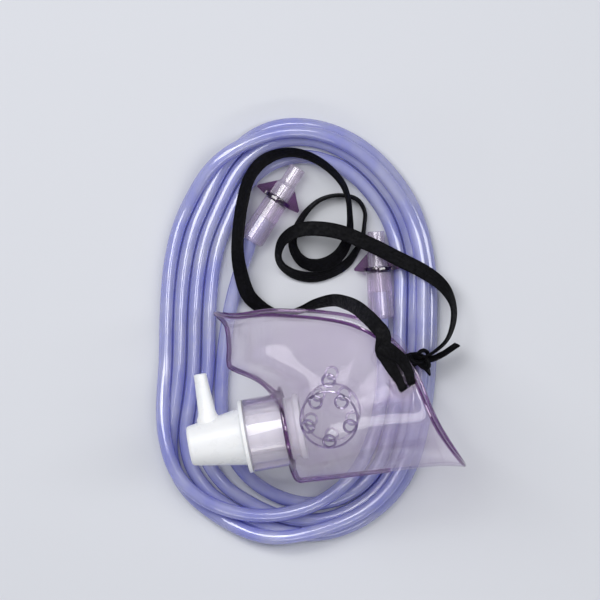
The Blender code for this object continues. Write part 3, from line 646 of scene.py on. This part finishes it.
# Mask
MASK_HALF_LENGTH, MASK_HALF_WIDTH = 0.0626, 0.0305
FRONT_REACH, CHEEK_SWEEP, SHELL_WALL, MERGE_NEARER = 0.0423, 0.0282, 0.0012, 0.00002
PORT_LIP_FORWARD, PORT_LIP_UP, PORT_LEAN = 0.0377, 0.0232, radians(41.6)
PORT_DEPTH, PORT_RADIUS, COLLAR_WALL, COLLAR_ROUND = 0.0170, 0.0129, 0.0028, 0.0006
COLLAR_SPARE, COLLAR_TOP, COLLAR_STEPS = 0.0002, 0.001, 72
VENT_FORWARD, VENT_UP, VENT_CIRCLE, VENT_RADIUS = 0.0119, -0.0025, 0.0094, 0.00205
VENT_COUNT, VENT_FIRST_ANGLE, VENT_STEPS = 5, radians(39.5), 28
UPPER_VENT_FORWARD, UPPER_VENT_UP = -0.0024, 0.0063
VENT_DISC, VENT_DISC_STEPS = 0.0122, 72
RIM_BEAD_RADIUS, NOSE_RIDGE, CHIN_RIDGE, CHIN_RIDGE_FROM = 0.0008, (0.0012, 0.8), (0.0015, 0.6), 0.30
ROOT_RADIUS, ROOT_BEAD_RADIUS, ROOT_RING_SUNK = 0.0176, 0.0010, 0.0004
ROOT_RING_STEPS, ROOT_EDGE_STEPS, ROOT_EDGE_ANGLE = 96, 8, radians(125)
VENT_BEAD_RADIUS, VENT_BEAD_SPARE, DISC_BEAD_RADIUS = 0.0006, 0.00055, 0.0005
SMALL_BEAD_SIDES, BEAD_SIDES = 8, 10
PAST_CHEEK, CUT_REACH = 0.08, 0.045
EAR_FORWARD, EAR_UP, EAR_LEAN, EAR_EDGE = -0.0215, -0.0155, radians(24), 0.0004
EAR_LENGTH, EAR_WIDTH, EAR_THICK, EAR_SEAT, EAR_CORNER = 0.0235, 0.0135, 0.0024, 0.0312, 0.0042
SLOT_WIDTH, SLOT_MARGIN = 0.0030, 0.0038
SLOT_PLACE = Vector((EAR_LENGTH / 2 - SLOT_MARGIN, 0, 0))
BAND_WIDTH, BAND_THICK = 0.0065, 0.0012
MASK_PLACE, MASK_TURN, MASK_DIP = (0.00625, -0.0317, 0.0423), radians(148.6), radians(3)
RIM_STEPS = 10

SECTION_LINES = np.array((
    (0, 0, 1), (0, 0.05, 0.89), (0, 0.21, 0.80),
    (0, 0.36, 0.74), (0, 0.385, 0.69), (0, 0.35, 0.52),
    (0.40, -0.12, 0.87), (0.33, -0.05, 0.82), (0.29, 0.15, 0.75),
    (0.27, 0.30, 0.69), (0.29, 0.32, 0.62), (0.33, 0.35, 0.46),
    (0.78, -0.52, 0.62), (0.70, -0.46, 0.60), (0.66, -0.06, 0.56),
    (0.58, 0.16, 0.52), (0.51, 0.25, 0.44), (0.46, 0.40, 0.33),
    (1.09, -1, 0.14), (1, -0.95, 0.135), (0.97, -0.50, 0.13),
    (0.92, 0, 0.12), (0.83, 0.20, 0.13), (0.64, 0.44, 0.16),
    (1.07, -0.90, -0.28), (0.98, -0.84, -0.27), (0.96, -0.40, -0.24),
    (0.90, 0.08, -0.18), (0.76, 0.42, -0.09), (0.59, 0.64, 0.02),
    (0.72, -0.30, -0.70), (0.64, -0.23, -0.68), (0.61, 0.16, -0.52),
    (0.56, 0.52, -0.31), (0.44, 0.82, -0.12), (0.35, 0.89, -0.02),
    (0, 0, -1), (0, 0.16, -0.82), (0, 0.51, -0.52),
    (0, 0.93, -0.155), (0, 1, -0.085), (0, 0.96, -0.03),
)).reshape(7, 6, 3)

MASK_FRAME = (
    moved(MASK_PLACE)
    @ spun(MASK_TURN, "Z")
    @ spun(-MASK_DIP, "X")
    @ spun(STRAIGHT, "Y")
)


def port_point(radius, angle, offset):
    axis = Vector((0, sin(PORT_LEAN), cos(PORT_LEAN)))
    nose_side = Vector((0, -cos(PORT_LEAN), sin(PORT_LEAN)))
    lip = Vector((0, PORT_LIP_FORWARD, PORT_LIP_UP))
    return lip + axis * offset + nose_side * radius * cos(angle) + Vector((radius * sin(angle), 0, 0))


PORT_FRAME = moved(port_point(0, 0, 0)) @ spun(-PORT_LEAN, "X")


def shell_point(share):
    across, forward, up = share
    reach = FRONT_REACH if forward > 0 else CHEEK_SWEEP
    return (across * MASK_HALF_WIDTH, forward * reach, up * MASK_HALF_LENGTH)


def shell_grid(along_steps, across_steps):
    """Rows of places on one half of the dome, from its rim to the collar."""
    meeting_radius = PORT_RADIUS + COLLAR_WALL / 2
    sections = []
    for i, shares in enumerate(SECTION_LINES):
        angle = pi * i / (len(SECTION_LINES) - 1)
        line = [shell_point(share) for share in shares]
        line.append(tuple(port_point(meeting_radius, angle, SHELL_WALL / 2 - PORT_DEPTH)))
        sections.append(spline(line, along_steps))
    rows = np.swapaxes(np.array(sections), 0, 1)
    return np.array([spline(row, across_steps, row[1] * MIRRORED, row[-2] * MIRRORED) for row in rows])


def ear_frame(side):
    """An ear's frame: X along it to the slot, and Z out of the cheek."""
    along = Vector((0, sin(EAR_LEAN), -cos(EAR_LEAN)))
    off = Vector((side, 0, 0))
    turn = Matrix((along, off.cross(along), off)).transposed().to_4x4()
    return moved((side * EAR_SEAT, EAR_FORWARD, EAR_UP)) @ turn


def plate_rings(length, width, thickness, corner, place, edge=0, steps=8):
    """Rings of a flat plate with round corners and eased edges, in the plane of X and Y."""
    half = thickness / 2
    levels = [(-half, edge), (half, edge)]
    if edge:
        levels[1:1] = [(-half + edge, 0), (half - edge, 0)]
    rings = []
    for level, inset in levels:
        ring = []
        for quarter, (way_x, way_y) in enumerate(((1, 1), (-1, 1), (-1, -1), (1, -1))):
            centre = Vector(((length / 2 - corner) * way_x, (width / 2 - corner) * way_y, level))
            for step in range(steps + 1):
                angle = STRAIGHT * (quarter + step / steps)
                off = Vector((cos(angle), sin(angle), 0)) * (corner - inset)
                ring.append(tuple(place @ (centre + off)))
        rings.append(ring)
    return rings


def vent_places():
    """The vents' centres, as (forward, up)."""
    places = [(UPPER_VENT_FORWARD, UPPER_VENT_UP)]
    for i in range(VENT_COUNT):
        angle = VENT_FIRST_ANGLE + 2 * pi * i / VENT_COUNT
        off = VENT_CIRCLE * cos(angle), VENT_CIRCLE * sin(angle)
        places.append((VENT_FORWARD + off[0], VENT_UP + off[1]))
    return places


def ring_on(tree, side, centre, radius, size, count):
    """A closed bead on the outside of the cheek, round a centre given as (forward, up)."""
    places = []
    for c, s in circle(count):
        start = Vector((side * PAST_CHEEK, centre[0] + radius * c, centre[1] + radius * s))
        hit, normal, _, _ = tree.ray_cast(start, Vector((-side, 0, 0)))
        places.append((hit, normal))
    rings = []
    for i, (hit, normal) in enumerate(places):
        along = (places[(i + 1) % count][0] - places[i - 1][0]).normalized()
        outward = normal if normal.x * side > 0 else -normal
        rings.append(ring_about(hit, along.cross(outward).normalized(), outward, size, SMALL_BEAD_SIDES))
    return rings


def sunk_beads(tree):
    """The raised rims of the vents and the ring round them, as half sunk beads."""
    builder = bmesh.new()
    rims = [(place, VENT_RADIUS + VENT_BEAD_SPARE, VENT_BEAD_RADIUS, VENT_STEPS) for place in vent_places()]
    rims.append(((VENT_FORWARD, VENT_UP), VENT_DISC, DISC_BEAD_RADIUS, VENT_DISC_STEPS))
    for side in (-1, 1):
        for rim in rims:
            loft(ring_on(tree, side, *rim), True, builder=builder)
    return builder


def bead_along(builder, points, radius, closed=False):
    """A round bead on a line of points in the mask's frame; radius is one number or one for each point."""
    count = len(points)
    level = Vector((0, 1, 0)) if closed else Vector((1, 0, 0))
    rings = []
    for i, size in enumerate(np.broadcast_to(radius, count)):
        after = points[(i + 1) % count] if closed else points[min(count - 1, i + 1)]
        before = points[i - 1] if closed or i else points[0]
        run = Vector(after - before).normalized()
        side = run.cross(level).normalized()
        rings.append(ring_about(Vector(points[i]), side, side.cross(run), float(size), BEAD_SIDES))
    loft(rings, closed, builder=builder)


def edge_beads(along, across):
    """The thick edges of the moulding: its rolled rim and its centre line down the nose and chin."""
    builder = bmesh.new()
    grid = shell_grid(along, across)
    edge, nose, chin = grid[0], grid[:, 0], grid[:, -1]
    bead_along(builder, np.vstack([edge, edge[-2:0:-1] * MIRRORED]), RIM_BEAD_RADIUS, closed=True)
    chin = chin[round(len(chin) * CHIN_RIDGE_FROM) :]
    for line, size, start in ((nose, *NOSE_RIDGE), (chin, *CHIN_RIDGE)):
        bead_along(builder, line, np.linspace(size * start, size, len(line)))
    return builder


def root_ring():
    """The thick flat ring that the collar rises from, with a round edge."""
    inner = PORT_RADIUS + COLLAR_WALL - ROOT_RING_SUNK
    thick = ROOT_BEAD_RADIUS
    flat = [(inner, -thick * 0.5), (ROOT_RADIUS - thick * 0.6, -thick * 0.5)]
    edge = []
    for step in range(ROOT_EDGE_STEPS + 1):
        angle = ROOT_EDGE_ANGLE * (2 * step / ROOT_EDGE_STEPS - 1)
        edge.append((ROOT_RADIUS + thick * cos(angle), thick * sin(angle)))
    ring = turned(flat + edge + [(radius, -height) for radius, height in flat[::-1]], ROOT_RING_STEPS)
    place = PORT_FRAME @ moved((0, 0, -PORT_DEPTH))
    bmesh.ops.transform(ring, matrix=place, verts=ring.verts)
    return ring


def joined(target, builder, index):
    """Adds loose closed forms to an object's mesh, in the material of that index."""
    for face in builder.faces:
        face.material_index = index
    held = bpy.data.meshes.new("held")
    builder.to_mesh(held)
    builder.free()
    whole = bmesh.new()
    for mesh in (target.data, held):
        whole.from_mesh(mesh)
    whole.to_mesh(target.data)
    whole.free()
    bpy.data.meshes.remove(held)


def build_dome(along, across):
    """The mask's dome, with an even wall."""
    builder = bmesh.new()
    rows = [[builder.verts.new(point) for point in row] for row in shell_grid(along, across)]
    for outer, inner in zip(rows, rows[1:]):
        for k in range(len(outer) - 1):
            builder.faces.new((outer[k], outer[k + 1], inner[k + 1], inner[k]))
    for row in rows:
        row[0].co.x = 0
        row[-1].co.x = 0
    shell = new_object("mask", builder, MASK_PVC, COLLAR_PVC, BEAD_SHADE_PVC, MASK_EDGE_SHADE)
    mirror = shell.modifiers.new("Mirror", "MIRROR")
    mirror.merge_threshold = MERGE_NEARER
    solid = shell.modifiers.new("Wall", "SOLIDIFY")
    solid.thickness = SHELL_WALL
    solid.offset = 0
    solid.use_even_offset = True
    applied(shell)
    return shell


def build_mask():
    along, across = ((10, 10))
    shell = build_dome(along, across)
    dome = shell.data
    tree = BVHTree.FromPolygons([v.co for v in dome.vertices], [p.vertices for p in dome.polygons])

    outer = PORT_RADIUS + COLLAR_WALL
    profile = ((outer, -GAP), (outer, -PORT_DEPTH), (PORT_RADIUS, -PORT_DEPTH), (PORT_RADIUS, -GAP))
    added = turned(rounded(profile, (COLLAR_ROUND, 0, 0, COLLAR_ROUND)), COLLAR_STEPS)
    bmesh.ops.transform(added, matrix=PORT_FRAME, verts=added.verts)
    cuts = bmesh.new()
    for side in (-1, 1):
        ear = ear_frame(side)
        loft(plate_rings(EAR_LENGTH, EAR_WIDTH, EAR_THICK, EAR_CORNER, ear, EAR_EDGE), builder=added)
        slot = ear @ moved(SLOT_PLACE)
        slot_length, slot_depth = BAND_WIDTH + 4 * GAP, 4 * EAR_THICK
        loft(plate_rings(SLOT_WIDTH, slot_length, slot_depth, SLOT_WIDTH / 3, slot), builder=cuts)
    for forward, up in vent_places():
        around = [(forward + VENT_RADIUS * c, up + VENT_RADIUS * s) for c, s in circle(VENT_STEPS)]
        loft([[(x, *place) for place in around] for x in (-CUT_REACH, CUT_REACH)], builder=cuts)
    combined(shell, (new_object("additions", added), "UNION"), (new_object("cutters", cuts), "DIFFERENCE"))
    into_port = PORT_FRAME.inverted()
    for face in shell.data.polygons:
        place = into_port @ face.center
        near_axis = hypot(place.x, place.y) < outer + COLLAR_SPARE
        face.material_index = int(near_axis and -PORT_DEPTH < place.z < COLLAR_TOP)
    # The vent rims take the darker bead material, with painted shade for their dark outlines.
    joined(shell, sunk_beads(tree), 2)
    # The edge beads and the root ring take the dark edge material, which is partly the thick plastic's own
    # colour and partly painted shade of edge-on plastic.
    joined(shell, edge_beads(along, across), 3)
    joined(shell, root_ring(), 3)
    smoothed(shell.data, 35)
    settled(shell, MASK_FRAME)
    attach(shell, "mask")
    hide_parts("mask_shell")


build_mask()


# Swivel connector
SWIVEL_WALL, SWIVEL_SPARE, SMALL_ROUND, SWIVEL_STEPS = 0.0016, 0.0003, 0.00025, 72
CONE_LENGTH, CONE_END_RADIUS, CONE_EDGE, CONE_FOOT_ROUND = 0.0255, 0.0084, 0.0016, 0.0010
STOP_RADIUS, STOP_THICK, STOP_ROUNDS = 0.0158, 0.0017, (0.0005, 0.0004)
RIDGE_REACH, RIDGE_LENGTH = 0.0010, 0.0014
END_RADIUS, END_LENGTH, TUBE_BEYOND_PORT = 0.0141, 0.0030, 0.0070
STEM_OUTLINE_MM = (
    (0, 29.7), (2.3, 29.7), (2.7, 29.3), (3.7, 13.5), (4.1, 11.8), (4.9, 10.4), (4.9, 4.2), (0, 4.2),
)
STEM_OFFSET, STEM_BORE, STEM_STEPS, BORE_STEPS = 0.0154, 0.0015, 40, 28


def build_swivel():
    tube_radius = PORT_RADIUS - SWIVEL_SPARE
    bore = tube_radius - SWIVEL_WALL
    port_end = -PORT_DEPTH - GAP
    tube_end = -PORT_DEPTH - TUBE_BEYOND_PORT
    taper = (tube_radius - CONE_END_RADIUS) / CONE_LENGTH
    ridge = tube_radius + RIDGE_REACH
    outside = [
        (0, CONE_LENGTH, 0),
        (CONE_END_RADIUS, CONE_LENGTH, CONE_EDGE),
        (tube_radius - taper * STOP_THICK, STOP_THICK, CONE_FOOT_ROUND),
        (STOP_RADIUS, STOP_THICK, STOP_ROUNDS[0]),
        (STOP_RADIUS, 0, STOP_ROUNDS[1]),
        (tube_radius, 0, SMALL_ROUND),
        (tube_radius, port_end, SMALL_ROUND),
        (ridge, port_end - RIDGE_LENGTH / 3, SMALL_ROUND),
        (ridge, port_end - RIDGE_LENGTH * 2 / 3, SMALL_ROUND),
        (tube_radius, port_end - RIDGE_LENGTH, SMALL_ROUND),
        (tube_radius, tube_end + END_LENGTH, SMALL_ROUND),
        (END_RADIUS, tube_end + END_LENGTH * 0.7, SMALL_ROUND),
        (END_RADIUS, tube_end, SMALL_ROUND),
        (0, tube_end, 0),
    ]
    outline = rounded([row[:2] for row in outside], [row[2] for row in outside])
    body = new_object("inlet_swivel", turned(outline, SWIVEL_STEPS, closed=False), WHITE_PLASTIC)
    roof, foot = CONE_LENGTH - SWIVEL_WALL, tube_end - GAP
    inside = [(0, roof), (CONE_END_RADIUS - SWIVEL_WALL, roof), (bore, 0), (bore, foot), (0, foot)]
    stem_outline = metres(STEM_OUTLINE_MM)
    top = stem_outline[0][1] + GAP
    stem_bore = [(0, top), (STEM_BORE, top), (STEM_BORE, 0), (0, 0)]
    stem, hollow, drill = (
        new_object("tool", turned(outline, steps, closed=False))
        for outline, steps in ((stem_outline, STEM_STEPS), (inside, SWIVEL_STEPS), (stem_bore, BORE_STEPS))
    )
    for piece in (stem, drill):
        piece.matrix_world = moved((0, 0, STEM_OFFSET)) @ spun(STRAIGHT, "X")
    combined(body, (stem, "UNION"), (hollow, "DIFFERENCE"), (drill, "DIFFERENCE"))
    smoothed(body.data, 32)
    settled(body, MASK_FRAME @ PORT_FRAME)
    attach(body, "swivel")
    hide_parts("swivel_connector")


build_swivel()


# Head strap
STRAP_ROUTE_MM = (
    (24.4, -8.4, 79.6, 0), (21.4, -4.4, 77.6, 4), (17.8, -0.6, 69, 10), (13.6, 3, 54, 18),
    (9, 5.2, 38, 26), (3.6, 6.2, 22, 36), (-3.4, 4.8, 10.6, 48), (-10.6, 2, 6, 64),
    (-17.6, 0.4, 3.7, 74), (-24.5, 1.7, 3.2, 46), (-29.9, 5, 4, 22), (-33.7, 9.6, 7, 8),
    (-36.5, 18.5, 9.8, 20), (-37.8, 27.9, 12.9, 34), (-37.2, 38.7, 11.2, 36), (-35.6, 49.4, 8.6, 36),
    (-32.7, 59.3, 8.6, 38), (-26.7, 66.7, 9, 35), (-17.6, 70.3, 9.8, 50), (-8.6, 69.4, 10.2, 55),
    (0, 64.9, 10.4, 60), (6.9, 58, 10.6, 65), (9.9, 51.2, 10.9, 72), (10.8, 43.9, 10.8, 72),
    (10.8, 36.5, 10, 62), (9, 30.5, 9, 45), (5.6, 25.4, 8.4, 34), (-0.4, 21.9, 8, 30),
    (-7.3, 21.9, 7.4, 38), (-12, 25.6, 6.4, 50), (-14, 31.8, 5, 58), (-11.6, 39.1, 4, 64),
    (-7.3, 45.6, 3.6, 72), (-1.3, 50.3, 3.6, 78), (6.5, 52, 3.6, 80), (13.8, 50.3, 3.6, 78),
    (17.3, 45.1, 3.6, 80), (17.2, 39.1, 3.6, 80), (16.2, 33.1, 3.6, 76), (13.4, 27.4, 3.5, 66),
    (9.5, 22.3, 3.5, 56), (3, 18.4, 3.4, 50), (-4.7, 16.4, 3.4, 48), (-12.5, 17.5, 4.2, 52),
    (-18.1, 21, 6, 62), (-20.2, 25.8, 8.4, 66), (-18.5, 31.8, 11, 50), (-13.3, 35.9, 13.4, 28),
    (-5.6, 37.4, 15.4, 8), (6.5, 35.8, 16.4, 0), (19.4, 30.5, 16, 0), (32.2, 24.1, 14, 0),
    (43.9, 18.1, 11.4, 14), (51.6, 12, 10.4, 38), (55.5, 4.7, 10.2, 64), (55.7, -3, 10.2, 70),
    (53, -10.6, 10.8, 78), (47.8, -15.6, 12.6, 82),
)
NEAR_TAIL_MM = ((-7.5, 0.6, -7), (-4.5, 0.4, -6.6), (-1.5, 0.2, -6.1), (2, 0, -5.1), (4.8, 0, -4.7))
FAR_TAIL_MM = ((2.6, 2.2, 3.8), (4.4, 1.4, 3.1), (6.2, 0.6, 2.4))
OVER_NEAR_EAR_MM = ((5, -1.6, 2.4), (1, -1.3, 2.9), (-3, -1, 3.4), (-6.5, -0.5, 3.9), (-10, 0, 4.3))
OVER_FAR_EAR_MM = ((2.9, -5.6, -3.4), (2.4, -3.4, -3.3), (3, -1.3, -2.9), (4.6, -0.3, -2.4))
DOUBLED_MM = (
    (8, 2.1, -3.2), (8.8, 2.1, -1.2), (8.8, 2.1, 1.2), (8.2, 2.4, 2.1), (6.6, 2.9, 2.4), (4.2, 3.7, 2.5),
    (0.5, 4.3, 2.9), (-3, 4.3, 3.9), (-6.5, 3.2, 5.2), (-10, 1.7, 6), (-12.5, 0.4, 6.2),
)
LONG_TAIL_MM = (
    (43.2, -19, 16, 60), (46.6, -18.9, 15.2, 70), (51, -17, 13.8, 72), (55, -14.4, 12.6, 72),
    (57.4, -12.8, 12, 72),
)
SHORT_TAIL_MM = ((41.8, -20, 16, 40), (43.8, -22.4, 15.4, 66), (45.2, -24.6, 14, 78))
NEAR_KNOT_MM, FAR_KNOT_MM, FAR_KNOT_TILT = (-4.5, 0, -6.6), (41.6, -19, 16.2), 80
KNOT_SIZE, FAR_KNOT_SIZE = (0.0036, 0.0030, 0.0022), (0.0058, 0.0048, 0.0028)
KNOT_WIDE, KNOT_THICK, KNOT_STEPS, KNOT_SIDES = 0.0013, 0.0009, 90, 14
BAND_STEP, BAND_SECTION_STEPS, BAND_RIBS, RIB_DEPTH = 0.0014, 22, 5, 0.00007
LEVEL_LEAST = 0.25
NEAR_SLOT_SHIFT = (0.0014, -0.0021)
SQUEEZED_SHARE, SQUEEZE_REACH = 0.46, 0.018
STRAP_SPARE, LIFTED_WITHIN = 0.0002, 0.006
HUMP_REACH, HUMP_ROWS, HUMP_FLATNESS = 0.016, 12, 1.6


def band_section():
    """The knitted band's section: flat, with round edges and shallow ribs along it."""
    top = []
    for k in range(BAND_SECTION_STEPS + 1):
        across = sin(STRAIGHT * (-1 + 2 * k / BAND_SECTION_STEPS))
        edge = (1 - across**8) ** 0.5
        rib = RIB_DEPTH * cos(2 * pi * BAND_RIBS * across)
        top.append((across * BAND_WIDTH / 2, edge * (BAND_THICK / 2 - RIB_DEPTH + rib)))
    return top + [(x, -y) for x, y in top[-2:0:-1]]


def band_rings(places, shares=1.0):
    """The band's sections at rows of (x, y, z, tilt): flat at tilt 0, with its width level across the run.
    Shares say how much of its full width it has, at each row or all along."""
    points = places[:, :3]
    shares = np.broadcast_to(shares, len(places))
    section = band_section()
    level = None
    rings = []
    for i, place in enumerate(points):
        before, after = points[max(0, i - 1)], points[min(len(points) - 1, i + 1)]
        run = Vector(after - before).normalized()
        across = Vector((run.y, -run.x, 0))
        if level is None or across.length > LEVEL_LEAST:
            across.normalize()
            level = across if level is None or across.dot(level) > 0 else -across
        width_way = (level - run * level.dot(run)).normalized()
        face_way = width_way.cross(run)
        if face_way.z < 0:
            face_way = -face_way
        tilt = places[i, 3]
        along = width_way * cos(tilt) + face_way * sin(tilt)
        off = along.cross(run)
        rings.append([tuple(Vector(place) + along * x * shares[i] + off * y) for x, y in section])
    return rings


def ear_rows(place, rows):
    """Rows in an ear's frame as level rows of the band."""
    return np.array([(*(place @ Vector(row)), 0) for row in rows])


def squeezed(places, slot_at):
    """The share of its width that the band keeps where two runs of it share the slot."""
    away = norms(places[:, :3] - np.array(slot_at))
    return SQUEEZED_SHARE + (1 - SQUEEZED_SHARE) * np.minimum(1, away / SQUEEZE_REACH)


def through_slot(place, side, tail, shift=(0, 0)):
    """The band from its tail through an ear's slot to the other face: side is the face that it ends on."""
    edge = SLOT_PLACE.x - SLOT_WIDTH / 2
    spare = GAP * 1.6 + BAND_THICK / 2
    slant = sqrt(0.5) * spare
    face = EAR_THICK / 2
    turn = [(edge + slant, -face - slant), (edge + spare, -face), (edge + spare, 0)]
    turn += [(edge + spare, face), (edge + slant, face + slant), (edge, face + spare)]
    return ear_rows(place, [*metres(tail), *((x + shift[0], shift[1], z * side) for x, z in turn)])


def strap_parts(near_ear, far_ear):
    """The band's rows: the near end through its slot, the free stretch, the far end and the doubled end."""
    near = through_slot(near_ear, 1, NEAR_TAIL_MM, NEAR_SLOT_SHIFT)
    far = through_slot(far_ear, -1, FAR_TAIL_MM)
    over_near = ear_rows(near_ear, metres(OVER_NEAR_EAR_MM))
    over_far = ear_rows(far_ear, metres(OVER_FAR_EAR_MM))
    knot = metres([(*FAR_KNOT_MM, FAR_KNOT_TILT)])
    held = np.vstack([over_near, metres(STRAP_ROUTE_MM), knot])
    free = evenly(spline(held, 8, before=near[-1], after=over_far[0]), BAND_STEP)
    near = evenly(spline(np.vstack([near, over_near[:1]]), 6, after=over_near[1]), BAND_STEP / 3)
    far = evenly(spline(np.vstack([knot, over_far, far[::-1]]), 6, before=free[-4]), BAND_STEP / 3)
    doubled = evenly(spline(ear_rows(near_ear, metres(DOUBLED_MM)), 6), BAND_STEP / 2)
    return near, free, far, doubled


def lifted_over(places, line, radius):
    """The band's rows raised, in one long low hump, where a round line of that radius lies under them."""
    lifts = np.zeros(len(places))
    for i, (x, y, z, tilt) in enumerate(places):
        reach = BAND_WIDTH / 2 * abs(cos(tilt))
        below = BAND_WIDTH / 2 * abs(sin(tilt)) + BAND_THICK / 2 * abs(cos(tilt))
        off = np.maximum(0, np.hypot(line[:, 0] - x, line[:, 1] - y) - reach)
        under = (off < radius) & (abs(line[:, 2] - z) < LIFTED_WITHIN)
        if under.any():
            top = (line[under, 2] + np.sqrt(radius**2 - off[under] ** 2)).max()
            lifts[i] = max(0, top + STRAP_SPARE + below - z)
    spread = HUMP_REACH / BAND_STEP
    places = places.copy()
    for i in range(len(lifts)):
        near = range(max(0, i - HUMP_ROWS), min(len(lifts), i + HUMP_ROWS + 1))
        places[i, 2] += max(lifts[j] * eased(HUMP_FLATNESS * (1 - abs(i - j) / spread)) for j in near)
    return places


def knot_form(builder, centre, size=KNOT_SIZE):
    """A pulled-tight overhand knot: the band wound on a small trefoil."""
    angles = np.linspace(0, 2 * pi, KNOT_STEPS, endpoint=False)
    forward = np.sin(angles) + 2 * np.sin(2 * angles)
    sideways = np.cos(angles) - 2 * np.cos(2 * angles)
    loops = np.column_stack([forward, sideways, -np.sin(3 * angles)])
    room = np.array(size) - np.array([KNOT_THICK, KNOT_THICK, KNOT_WIDE])
    points = [Vector(place) for place in loops * room / np.array([3, 3, 1])]
    spin = moved(centre) @ spun(MASK_TURN, "Z")
    rings = []
    for i, place in enumerate(points):
        run = (points[(i + 1) % KNOT_STEPS] - points[i - 1]).normalized()
        flat = Vector((place.x, place.y, 0)).normalized()
        off = (flat - run * run.dot(flat)).normalized()
        ring = ring_about(place, run.cross(off) * KNOT_WIDE, off * KNOT_THICK, 1, KNOT_SIDES)
        rings.append([tuple(spin @ Vector(point)) for point in ring])
    loft(rings, True, builder=builder)


def build_strap():
    near_ear, far_ear = MASK_FRAME @ ear_frame(-1), MASK_FRAME @ ear_frame(1)
    near, free, far, doubled = strap_parts(near_ear, far_ear)
    rim = shell_grid(RIM_STEPS, RIM_STEPS)[0] * MIRRORED
    free = lifted_over(free, tubing_line(), TUBE_RADIUS)
    free = lifted_over(free, np.array([MASK_FRAME @ Vector(place) for place in rim]), RIM_BEAD_RADIUS)
    slot_at = near_ear @ SLOT_PLACE
    band = new_object("strap_band", loft(band_rings(free, squeezed(free, slot_at))), BLACK_ELASTIC)
    ends = loft(band_rings(far))
    for rows in (near, doubled):
        loft(band_rings(rows, squeezed(rows, slot_at)), builder=ends)
    for rows in (LONG_TAIL_MM, SHORT_TAIL_MM):
        loft(band_rings(evenly(spline(metres(rows), 6), BAND_STEP)), builder=ends)
    knot_form(ends, Vector(FAR_KNOT_MM) / 1000, FAR_KNOT_SIZE)
    knot_form(ends, near_ear @ (Vector(NEAR_KNOT_MM) / 1000))
    knot_form(ends, far_ear @ (Vector(FAR_TAIL_MM[0]) / 1000))
    tied = new_object("strap_ends", ends, BLACK_ELASTIC)
    for piece in (band, tied):
        smoothed(piece.data, 50)
        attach(piece, "mask")
    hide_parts("head_strap")
    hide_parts("head_strap")


build_strap()


# Floor and light
FLOOR_SIZE, FLOOR_HEIGHT, FLOOR_COLOUR, FLOOR_ROUGHNESS = 6, -0.0002, (0.65, 0.665, 0.71), 0.9
LIT_PLACE = Vector((0, 0, 0.02))
LAMPS = (
    ("window", (-0.55, 0.40, 1.15), (0.52, 1.10), 10.2),
    ("overhead", (-0.16, 0.62, 1.25), (0.55, 0.22), 3),
    ("window_right", (0.66, 0.12, 1.05), (0.26, 1.10), 4.6),
    ("front", (0.05, -1.00, 0.90), (1.00, 0.16), 2.7),
)
SKY_COLOUR, SKY_STRENGTH = (0.93, 0.95, 1, 1), 0.185


def build_stage():
    bpy.ops.mesh.primitive_plane_add(size=FLOOR_SIZE, location=(0, 0, FLOOR_HEIGHT))
    floor = bpy.context.object
    floor.name = "floor"
    floor.data.materials.append(Shader("floor", FLOOR_COLOUR, FLOOR_ROUGHNESS).material)


def light_up():
    for name, place, size, power in LAMPS:
        data = bpy.data.lights.new(name, "AREA")
        data.shape = "RECTANGLE"
        data.size, data.size_y = size
        data.energy = power
        lamp = in_scene(name, data)
        lamp.location = place
        lamp.rotation_euler = (LIT_PLACE - Vector(place)).to_track_quat("-Z", "Y").to_euler()
    world = bpy.data.worlds.new("world")
    world.use_nodes = True
    sky = world.node_tree.nodes["Background"]
    sky.inputs["Color"].default_value = SKY_COLOUR
    sky.inputs["Strength"].default_value = SKY_STRENGTH
    bpy.context.scene.world = world


build_stage()
light_up()
bpy.context.scene.view_settings.view_transform = "Standard"
